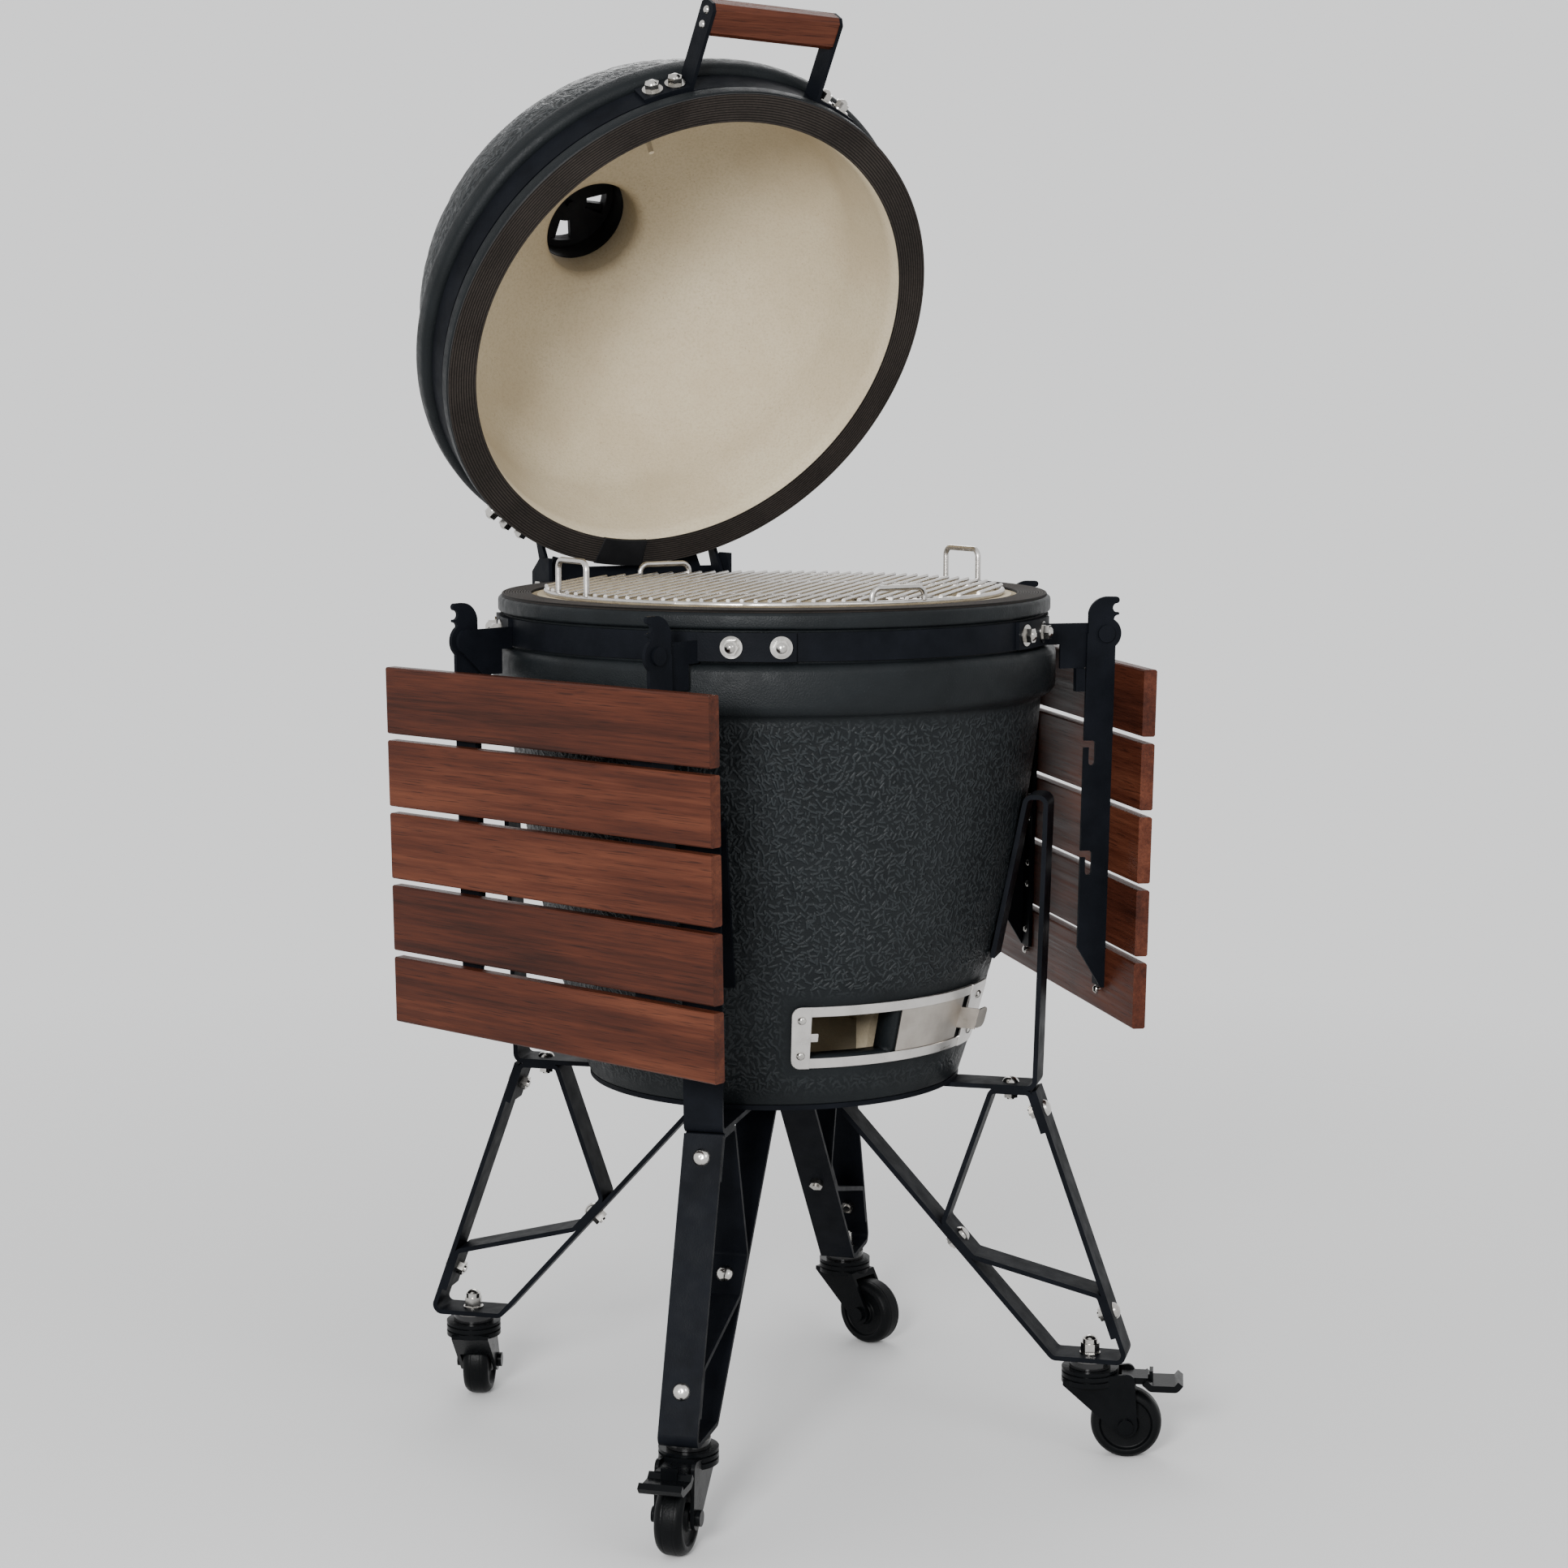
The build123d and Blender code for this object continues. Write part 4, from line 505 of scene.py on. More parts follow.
@dataclass(frozen=True)
class Clay:
    """Cream fired clay: soft stains, sandy grain, fine brown specks, and darker brown where a mark says so,
    partly soot and partly painted shade near the flue.
    """

    name: str = "cream_clay"
    light: TRIPLE = (0.515, 0.445, 0.318)
    stain: TRIPLE = (0.455, 0.382, 0.262)
    sand: TRIPLE = (0.38, 0.315, 0.212)
    speck: TRIPLE = (0.22, 0.155, 0.09)
    # Darker brown of soot with painted shade, for the flue's mouth
    soot_and_shaded: TRIPLE = (0.2, 0.15, 0.096)

    def material(self) -> MATERIAL:
        """Build the material.

        Returns:
            The material.
        """
        tree = Tree(self.name)
        where = tree.place()
        stains = tree.noise(where, scale=7, detail=4, rough=0.6)
        ground = tree.ramp(stains, (0.35, self.stain), (0.62, self.light))
        sand = tree.span(tree.noise(where, scale=330, detail=3, rough=0.7), (0.45, 0.72), (0.0, 0.7))
        ground = tree.mix(sand, ground, self.sand)
        specks = tree.span(tree.cells(where, scale=210), (0.2, 0.08))
        some = tree.span(tree.noise(where, scale=60, detail=2), (0.5, 0.62), (0.0, 0.55))
        shown = tree.math("MULTIPLY", specks, some)
        # Darker brown near the flue from a mark: partly soot, partly painted shade where the flue's rounded
        # mouth lies in shadow
        ground = tree.mix(tree.mark("smoke"), ground, self.soot_and_shaded)
        sandy = tree.noise(where, scale=480, detail=3, rough=0.6)
        return tree.dress(
            Base_Color=tree.mix(shown, ground, self.speck),
            Specular_IOR_Level=0.15,
            Roughness=tree.span(tree.noise(where, scale=40, detail=3), (0.3, 0.7), (0.62, 0.8)),
            Normal=tree.bump(sandy, distance=0.0006, strength=0.5),
        )


@dataclass(frozen=True)
class Plain:
    """Coated, cast or moulded surface: a colour with cloudy tone, a fine grain and uneven gloss."""

    name: str
    low: TRIPLE
    high: TRIPLE
    gloss: PAIR
    grain: float = 700.0
    relief: float = 0.0003
    shine: float = 0.2

    def material(self) -> MATERIAL:
        """Build the material.

        Returns:
            The material.
        """
        tree = Tree(self.name)
        where = tree.place()
        cloudy = tree.noise(where, scale=24, detail=4, rough=0.6)
        uneven = tree.noise(where, scale=55, detail=4)
        grain = tree.noise(where, self.grain, detail=2)
        return tree.dress(
            Base_Color=tree.ramp(cloudy, (0.35, self.low), (0.68, self.high)),
            Roughness=tree.span(uneven, (0.3, 0.7), self.gloss),
            Specular_IOR_Level=self.shine,
            Normal=tree.bump(grain, self.relief, strength=0.5),
        )


@dataclass(frozen=True)
class Felt:
    """Heat-proof felt seal: brown-black fibres, with painted shade in the valleys between its ridges, so
    that the crests look paler.
    """

    name: str = "seal_felt"
    # Near-black of painted shade in the ridges' valleys
    valley_painted_shade: TRIPLE = (0.003, 0.0025, 0.0022)
    dark: TRIPLE = (0.0105, 0.0083, 0.007)
    pale: TRIPLE = (0.033, 0.0265, 0.0225)

    def material(self) -> MATERIAL:
        """Build the material.

        Returns:
            The material.
        """
        tree = Tree(self.name)
        where = tree.place()
        fibres = tree.noise(where, scale=380, detail=5, rough=0.7)
        patch = tree.noise(where, scale=16, detail=3)
        value = tree.math("ADD", tree.math("MULTIPLY", patch, 0.5), tree.math("MULTIPLY", fibres, 0.6))
        tone = tree.ramp(value, (0.35, self.dark), (0.75, self.pale))
        return tree.dress(
            # Painted shade: the colour darkens towards the valleys of the ridges, read from the crest mark
            Base_Color=tree.mix(tree.span(tree.mark("crest"), (0.75, 0.3)), tone, self.valley_painted_shade),
            Roughness=0.9,
            Specular_IOR_Level=0.08,
            Sheen_Weight=0.04,
            Normal=tree.bump(fibres, distance=0.0008, strength=0.6),
        )


@dataclass(frozen=True)
class Steel:
    """Bare steel, brushed along one direction, with uneven gloss and faint smears."""

    name: str
    colour: TRIPLE
    dull: TRIPLE
    gloss: PAIR
    brush: TRIPLE = (60.0, 60.0, 900.0)
    black_below: float | None = None
    black: TRIPLE = (0.006, 0.006, 0.0065)
    blend: float = 0.0002

    def material(self) -> MATERIAL:
        """Build the material.

        Returns:
            The material.
        """
        tree = Tree(self.name)
        hairs = tree.noise(tree.place(self.brush), scale=1.0, detail=3, rough=0.6)
        where = tree.place()
        smears = tree.noise(where, scale=35, detail=4, rough=0.6)
        tone, metallic = tree.ramp(smears, (0.32, self.dull), (0.66, self.colour)), 1.0
        if self.black_below is not None:
            level = tree.add("ShaderNodeSeparateXYZ", {0: where}).outputs["Z"]
            metallic = tree.span(level, (self.black_below - self.blend, self.black_below + self.blend))
            tone = tree.mix(metallic, self.black, tone)
        return tree.dress(
            Base_Color=tone,
            Metallic=metallic,
            Roughness=tree.span(tree.math("ADD", hairs, smears), (0.7, 1.3), self.gloss),
            Normal=tree.bump(hairs, distance=0.00012, strength=0.35),
        )


@dataclass(frozen=True)
class DialInk:
    """Enamelled dial: pale ground, black ink where a mark says so, glossy as under glass."""

    name: str = "dial_enamel"
    ground: TRIPLE = (0.62, 0.61, 0.58)
    aged: TRIPLE = (0.558, 0.549, 0.522)
    ink: TRIPLE = (0.006, 0.006, 0.006)

    def material(self) -> MATERIAL:
        """Build the material.

        Returns:
            The material.
        """
        tree = Tree(self.name)
        where = tree.place()
        aged = tree.ramp(tree.noise(where, scale=120, detail=3), (0.3, self.aged), (0.7, self.ground))
        return tree.dress(
            Base_Color=tree.mix(tree.span(tree.mark("ink"), (0.35, 0.65)), aged, self.ink),
            Roughness=tree.span(tree.noise(where, scale=200, detail=3), (0.3, 0.7), (0.12, 0.2)),
        )


@dataclass(frozen=True)
class Wood:
    """Oiled red-brown hardwood with its grain along one direction and a tone of its own for each slat."""

    name: str
    turn: TRIPLE = (0.0, 0.0, 0.0)
    pitch: float = 0.0756
    first: float = 0.466
    dark: TRIPLE = (0.0125, 0.0032, 0.0018)
    mid: TRIPLE = (0.05, 0.0127, 0.0061)
    light: TRIPLE = (0.1, 0.0303, 0.0147)
    board_move: PAIR = (7.0, 3.0)
    board_tone: float = 0.12
    figure_share: float = 0.62
    streak_share: float = 0.38
    pore_share: float = 0.7

    def material(self) -> MATERIAL:
        """Build the material.

        Returns:
            The material.
        """
        tree = Tree(self.name)
        level = tree.add("ShaderNodeSeparateXYZ", {0: tree.place()}).outputs["Z"]
        row = tree.math("FLOOR", tree.math("DIVIDE", tree.math("SUBTRACT", level, self.first), self.pitch))
        board = tree.add("ShaderNodeTexWhiteNoise", {"W": row}, noise_dimensions="1D").outputs["Value"]
        moves = [tree.math("MULTIPLY", board, move) for move in self.board_move]
        shift = tree.add("ShaderNodeCombineXYZ", dict(zip("XZ", moves))).outputs[0]

        def along(scale: TRIPLE) -> SOCKET:
            """Coordinates along the grain, moved on from board to board."""
            return tree.vector("ADD", tree.place(scale, self.turn), shift)

        figure = tree.noise(along((3.0, 26.0, 34.0)), scale=1.0, detail=6, rough=0.62)
        streaks = tree.noise(along((5.0, 260.0, 260.0)), scale=1.0, detail=4, rough=0.65)
        dots = tree.noise(along((26.0, 900.0, 900.0)), scale=1.0, detail=2, rough=0.5)
        pores = tree.span(dots, (0.58, 0.7))
        broad, fine = ("MULTIPLY", figure, self.figure_share), ("MULTIPLY", streaks, self.streak_share)
        grain = tree.math("ADD", tree.math(*broad), tree.math(*fine))
        tone = tree.math("MULTIPLY", tree.math("SUBTRACT", board, 0.5), self.board_tone)
        value = tree.math("ADD", grain, tone)
        ground = tree.ramp(value, (0.3, self.dark), (0.7, self.light), (0.5, self.mid))
        relief = tree.math("SUBTRACT", streaks, pores)
        return tree.dress(
            Base_Color=tree.mix(tree.math("MULTIPLY", pores, self.pore_share), ground, self.dark),
            Roughness=tree.span(streaks, (0.3, 0.7), (0.36, 0.56)),
            Specular_IOR_Level=0.14,
            Normal=tree.bump(relief, distance=0.0005, strength=0.35),
        )


@dataclass
class Finishes:
    """Every material of the grill, made once."""

    table_turn: float = 72.5

    def __post_init__(self) -> None:
        """Build the materials."""
        self.glaze = Glaze().material()
        lid_strokes = {"stroke_scale": 86.0, "half_length": 0.0064, "half_width": 0.0022, "relief": 0.0007}
        self.lid_glaze = Glaze("lid_glaze", **lid_strokes).material()
        self.clay = Clay().material()
        self.felt = Felt().material()
        self.dial = DialInk().material()
        self.tape = Plain(
            "seal_joint_black", (0.003, 0.003, 0.0035), (0.007, 0.007, 0.008), (0.5, 0.7)
        ).material()
        self.coat = Plain(
            "black_powder_coat",
            (0.0032, 0.0038, 0.0052),
            (0.0052, 0.0061, 0.0084),
            (0.42, 0.56),
            shine=0.035,
        ).material()
        self.iron = Plain(
            "black_cast_iron",
            (0.005, 0.005, 0.0054),
            (0.012, 0.012, 0.0126),
            (0.5, 0.68),
            grain=420,
            relief=0.0007,
            shine=0.12,
        ).material()
        self.moulded = Plain(
            "caster_black",
            (0.0018, 0.0021, 0.0025),
            (0.0032, 0.0036, 0.0042),
            (0.2, 0.3),
            grain=300,
            relief=0.0002,
            shine=0.07,
        ).material()
        self.rubber = Plain(
            "wheel_black",
            (0.0017, 0.002, 0.0023),
            (0.0036, 0.004, 0.0044),
            (0.34, 0.48),
            grain=500,
            relief=0.0004,
            shine=0.08,
        ).material()
        self.stainless = Steel(
            "brushed_stainless", (0.66, 0.64, 0.615), (0.54, 0.52, 0.5), (0.24, 0.42)
        ).material()
        self.rods = Steel("grate_steel", (0.58, 0.56, 0.535), (0.46, 0.44, 0.42), (0.2, 0.38)).material()
        self.door = Steel("door_sheet", (0.46, 0.425, 0.385), (0.35, 0.32, 0.285), (0.3, 0.46)).material()
        chrome = Steel("bright_steel", (0.56, 0.545, 0.52), (0.38, 0.365, 0.34), (0.1, 0.26), (90, 90, 90))
        self.bright = chrome.material()
        self.cart_steel = replace(chrome, name="cart_fastener_steel", black_below=0.1049).material()
        self.right_wood = Wood("right_table_wood", (0, 0, self.table_turn)).material()
        self.left_wood = Wood("left_table_wood", (0, 0, -self.table_turn)).material()
        self.grip_wood = Wood("grip_wood", pitch=1.0, first=1.0).material()

    def node_material(self, node: str) -> MATERIAL:
        """Finish of a CAD node, from its name.

        Args:
            node: Name of the node.

        Returns:
            The material.
        """
        by_name = {
            "bowl": self.glaze,
            "lid_dome": self.lid_glaze,
            "firebox": self.clay,
            "fire_ring": self.clay,
            "charcoal_grate": self.iron,
            "vent_base": self.iron,
            "vent_cap": self.iron,
            "cooking_grate": self.rods,
            "draft_frame": self.stainless,
            "draft_door": self.door,
            "thermometer": self.stainless,
            "hinge_pin": self.bright,
            "cart_fasteners": self.cart_steel,
            "handle_grip": self.grip_wood,
            "right_table_slats": self.right_wood,
            "left_table_slats": self.left_wood,
        }
        by_word = {
            "gasket": self.felt,
            "nuts": self.bright,
            "screws": self.bright,
            "fasteners": self.bright,
            "caster_fork": self.moulded,
            "brake_pedal": self.moulded,
            "wheel": self.rubber,
        }
        if node in by_name:
            return by_name[node]
        return next((material for word, material in by_word.items() if word in node), self.coat)


@dataclass(frozen=True)
class Strokes:
    """Raised worm-like strokes of the glaze, scattered over a grid of rows and columns."""

    spacing: float
    length: PAIR
    width: float
    height: float
    lean: float
    seed: int
    scatter: float = 0.45
    skirt: float = 2.2
    fewest: int = 6

    def field(self, along: np.ndarray, radius: np.ndarray, angles: np.ndarray) -> np.ndarray:
        """Height of the strokes at each grid point: the largest of exp(-(d / width)^2) over the strokes.

        Args:
            along: Distance down the profile of each row.
            radius: Radius of each row.
            angles: Angle of each column in radians, evenly spaced over a full turn.

        Returns:
            Array (rows, columns) in millimetres.
        """
        chance = np.random.default_rng(self.seed)
        heights = np.zeros((len(along), len(angles)))
        step = angles[1] - angles[0]
        for level in np.arange(along[0], along[-1], self.spacing):
            ring = np.interp(level, along, radius)
            count = max(self.fewest, int(2 * np.pi * ring / self.spacing))
            places = np.arange(count) + chance.uniform(-self.scatter, self.scatter, count)
            places = places / count * 2 * np.pi
            levels = level + chance.uniform(-0.5, 0.5, count) * self.spacing
            turns = chance.normal(0.0, self.lean, count)
            lengths = chance.uniform(*self.length, count)
            for place, at, turn, length in zip(places, levels, turns, lengths):
                reach = length / 2 + self.skirt * self.width
                rows = np.nonzero(np.abs(along - at) < reach)[0]
                if len(rows) == 0:
                    continue
                span = int(np.ceil(reach / (ring * step)))
                columns = int(place / step) + np.arange(-span, span + 1)
                across = (columns * step - place)[None, :] * radius[rows][:, None]
                down = np.broadcast_to((along[rows] - at)[:, None], across.shape)
                lengthwise = across * np.cos(turn) + down * np.sin(turn)
                beside = down * np.cos(turn) - across * np.sin(turn)
                past = np.maximum(np.abs(lengthwise) - length / 2, 0.0)
                bump = np.exp(-(past**2 + beside**2) / self.width**2)
                window = np.ix_(rows, columns % len(angles))
                heights[window] = np.maximum(heights[window], bump)
        return heights * self.height

    def raised_on(
        self, points: np.ndarray, rows: np.ndarray, angles: np.ndarray, shown: np.ndarray
    ) -> tuple[np.ndarray, np.ndarray]:
        """A section for each angle, moved out along its normals by the strokes on some of its rows.

        Args:
            points: Section (radius, height).
            rows: Points of it that carry strokes.
            angles: Angle of each column in radians, evenly spaced over a full turn from 0.
            shown: Share of the strokes' height at each of those rows and columns.

        Returns:
            Array (points, columns, 2), and the share at each of its points.
        """
        shell = points[rows]
        raised = self.field(arc_lengths(shell), shell[:, 0], angles) * shown
        sections = np.repeat(points[:, None, :], len(angles), axis=1)
        sections[rows] += raised[..., None] * outward_normals(shell)[:, None, :]
        stroked = np.zeros(sections.shape[:2])
        stroked[rows] = shown
        return sections, stroked


BOWL_STROKES = Strokes(spacing=19.0, length=(12.0, 26.0), width=5.5, height=0.7, lean=1.1, seed=11)
LID_STROKES = Strokes(spacing=17.0, length=(10.0, 22.0), width=5.0, height=0.8, lean=0.8, seed=23)


def arc_lengths(profile: np.ndarray) -> np.ndarray:
    """Distance along a profile at each of its points."""
    return np.concatenate([[0.0], np.cumsum(np.linalg.norm(np.diff(profile, axis=0), axis=1))])


def outward_normals(profile: np.ndarray) -> np.ndarray:
    """Unit normals to the right of a profile's way up.

    Args:
        profile: Array (n, 2) of radius and height.

    Returns:
        Array (n, 2).
    """
    way = np.gradient(profile, axis=0)
    normal = np.column_stack([way[:, 1], -way[:, 0]])
    return normal / np.linalg.norm(normal, axis=1, keepdims=True)


@dataclass
class Bowl:
    """Thick ceramic bowl: glazed and stroked outside, bare clay inside, with the draft hole."""

    base_r: float = 198.0
    base_z: float = 405.0
    belly_r: float = 250.0
    belly_z: float = 600.0
    neck_r: float = 282.0
    neck_z: float = 808.0
    shoulder_r: float = 297.0
    shoulder_rise: float = 6.0
    wall: float = 30.0
    seat_low_z: float = 862.0
    seat_high_z: float = 896.0
    seat_r: float = 285.0
    rim_r: float = 291.0
    top_z: float = 912.0
    hole_start: float = -21.5
    hole_span: float = 24.0
    hole_low_z: float = 457.0
    hole_high_z: float = 502.0
    frame_end: float = 42.0
    frame_start: float = -26.5
    foot_rise: float = 5.0
    foot_round: float = 3.0
    upper_rounds: tuple[float, ...] = (12, 9, 2, 2, 3, 4)
    fade_start: float = 8.0
    fade_low: float = 20.0
    fade_high: float = 14.0
    frame_margin: float = 14.0
    frame_gap: float = 3.0
    frame_fade: float = 14.0
    slack: float = 1e-6
    columns: int = 600
    row_step: float = 3.8
    inner_step: float = 26.0
    floor_rows: int = 3
    strokes: Strokes = BOWL_STROKES

    def arc_radius(self, heights: np.ndarray) -> np.ndarray:
        """Radius of the belly, whose outline is the circle through foot, belly and neck.

        Args:
            heights: Heights z.

        Returns:
            The radius at each of them.
        """
        radii, levels = (self.base_r, self.belly_r, self.neck_r), (self.base_z, self.belly_z, self.neck_z)
        points = np.column_stack([radii, levels])
        matrix = 2 * (points[1:] - points[0])
        centre = np.linalg.solve(matrix, (points[1:] ** 2).sum(1) - (points[0] ** 2).sum())
        size = np.linalg.norm(points[0] - centre)
        return centre[0] + np.sqrt(size**2 - (heights - centre[1]) ** 2)

    def levels(self, low_z: float, step: float) -> np.ndarray:
        """Heights of the wall's rows up to the neck, with the draft hole's edges and rows among them.

        Args:
            low_z: Height of the first row.
            step: Distance between rows clear of the draft hole.

        Returns:
            The heights, rising.
        """
        edges = (low_z, self.hole_low_z, self.hole_high_z, self.neck_z)
        runs = [
            np.linspace(low, high, max(2, int(round((high - low) / gap))), endpoint=False)
            for low, high, gap in zip(edges, edges[1:], (step, self.row_step, step))
        ]
        return np.concatenate([*runs, [self.neck_z]])

    def profile(self) -> tuple[np.ndarray, np.ndarray, np.ndarray]:
        """Closed section from the middle of the foot up the outside and down the inside.

        Returns:
            Points, the mask of the belly's rows, and the finish of each stretch.
        """
        levels = self.levels(self.base_z + self.foot_rise, self.row_step)
        belly = np.column_stack([self.arc_radius(levels), levels])
        floor_z = self.base_z + self.wall
        foot = rounded([(0, self.base_z), (self.base_r, self.base_z), tuple(belly[0])], [self.foot_round])
        upper = rounded(
            [
                (self.neck_r, self.neck_z),
                (self.shoulder_r, self.neck_z + self.shoulder_rise),
                (self.shoulder_r, self.seat_low_z),
                (self.seat_r, self.seat_low_z),
                (self.seat_r, self.seat_high_z),
                (self.rim_r, self.seat_high_z),
                (self.rim_r, self.top_z),
                (MOUTH_R, self.top_z),
            ],
            self.upper_rounds,
        )
        inner = self.levels(floor_z, self.inner_step)[::-1]
        cavity = np.column_stack([np.minimum(MOUTH_R, self.arc_radius(inner) - self.wall), inner])
        floor = line(tuple(cavity[-1]), (0, floor_z), self.floor_rows)[1:]
        points = np.concatenate([foot[:-1], belly, upper[1:], cavity, floor])
        is_belly = np.zeros(len(points), bool)
        is_belly[len(foot) - 1 : len(foot) - 1 + len(belly)] = True
        skins = np.full(len(points) - 1, Skin.GLAZE.value)
        # Clay starts at the mouth; belly and upper part share a point with what is before them
        skins[len(foot) + len(belly) + len(upper) - 3 :] = Skin.CLAY.value
        return points, is_belly, skins

    def stroke_share(self, outer: np.ndarray, angles: np.ndarray) -> np.ndarray:
        """Share of the strokes' height, which falls to 0 at the foot, at the neck and round the draft frame.

        Args:
            outer: The belly's points (radius, height).
            angles: Angle of each column in radians.

        Returns:
            Array (rows, columns) from 0 to 1.
        """
        height = outer[:, 1]
        fade = np.clip((height - self.base_z - self.fade_start) / self.fade_low, 0, 1)
        fade *= np.clip((self.neck_z - height) / self.fade_high, 0, 1)
        degrees = np.degrees(angles)
        degrees = np.where(degrees > 180, degrees - 360, degrees)
        beside = np.maximum(self.frame_start - degrees, degrees - self.frame_end) * np.radians(self.base_r)
        above = np.maximum(self.hole_low_z - height, height - self.hole_high_z) - self.frame_margin
        away = np.maximum(beside[None, :], above[:, None])
        return np.clip((away - self.frame_gap) / self.frame_fade, 0, 1) * fade[:, None]

    def draft_hole(self, points: np.ndarray, is_belly: np.ndarray) -> tuple[np.ndarray, np.ndarray]:
        """Cut of the draft hole through both sides of the wall, and the quads of its sill, lintel and jambs.

        Args:
            points: The bowl's section (radius, height).
            is_belly: Mask of the belly's rows.

        Returns:
            Mask (stretches, columns) of the faces that stay, and the quads.
        """
        count = int(round(self.hole_span / 360 * self.columns))
        height = points[:, 1]
        within = (height > self.hole_low_z - self.slack) & (height < self.hole_high_z + self.slack)
        rows = np.nonzero(within[:-1] & within[1:])[0]
        keep = np.ones((len(points) - 1, self.columns), bool)
        keep[np.ix_(rows, np.arange(count))] = False
        out_rows, in_rows = rows[is_belly[rows]], rows[~is_belly[rows]]
        out_low, out_high = out_rows[0], out_rows[-1] + 1
        in_high, in_low = in_rows[0], in_rows[-1] + 1
        across, down = np.arange(count), np.arange(out_high - out_low)
        walls = [self.bridge(out_low, in_low, across), self.bridge(in_high, out_high, across)]
        for column in (0, count):
            outside = (out_low + down) * self.columns + column
            inside = (in_low - down) * self.columns + column
            walls.append(np.column_stack([outside, outside + self.columns, inside - self.columns, inside]))
        return keep, np.concatenate(walls)

    def build(self, finishes: Finishes) -> PIECE:
        """Turn the section, raise the strokes, cut the draft hole and close its four walls.

        Args:
            finishes: Materials of the grill.

        Returns:
            The piece.
        """
        points, is_belly, skins = self.profile()
        belly = np.nonzero(is_belly)[0]
        angles = np.radians(self.hole_start) + full_turn(self.columns)
        shown = self.stroke_share(points[belly], angles)
        section, stroked = self.strokes.raised_on(points, belly, angles - angles[0], shown)
        faces = grid_faces(len(points), self.columns).reshape(-1, self.columns, 4)
        keep, walls = self.draft_hole(points, is_belly)
        indices = np.repeat(skins[:, None], self.columns, axis=1)[keep]
        return mesh_piece(
            "glazed_bowl",
            home(turned(section, angles)),
            np.concatenate([faces[keep], walls]),
            "base",
            "glaze",
            ("bowl",),
            (finishes.glaze, finishes.clay),
            np.concatenate([indices, np.full(len(walls), Skin.GLAZE.value)]),
            marks={"stroked": stroked.ravel()},
        )

    def bridge(self, first: int, second: int, across: np.ndarray) -> np.ndarray:
        """Quads between two rows of the grid over a run of columns."""
        a, b = first * self.columns + across, second * self.columns + across
        return np.column_stack([a, a + 1, b + 1, b])


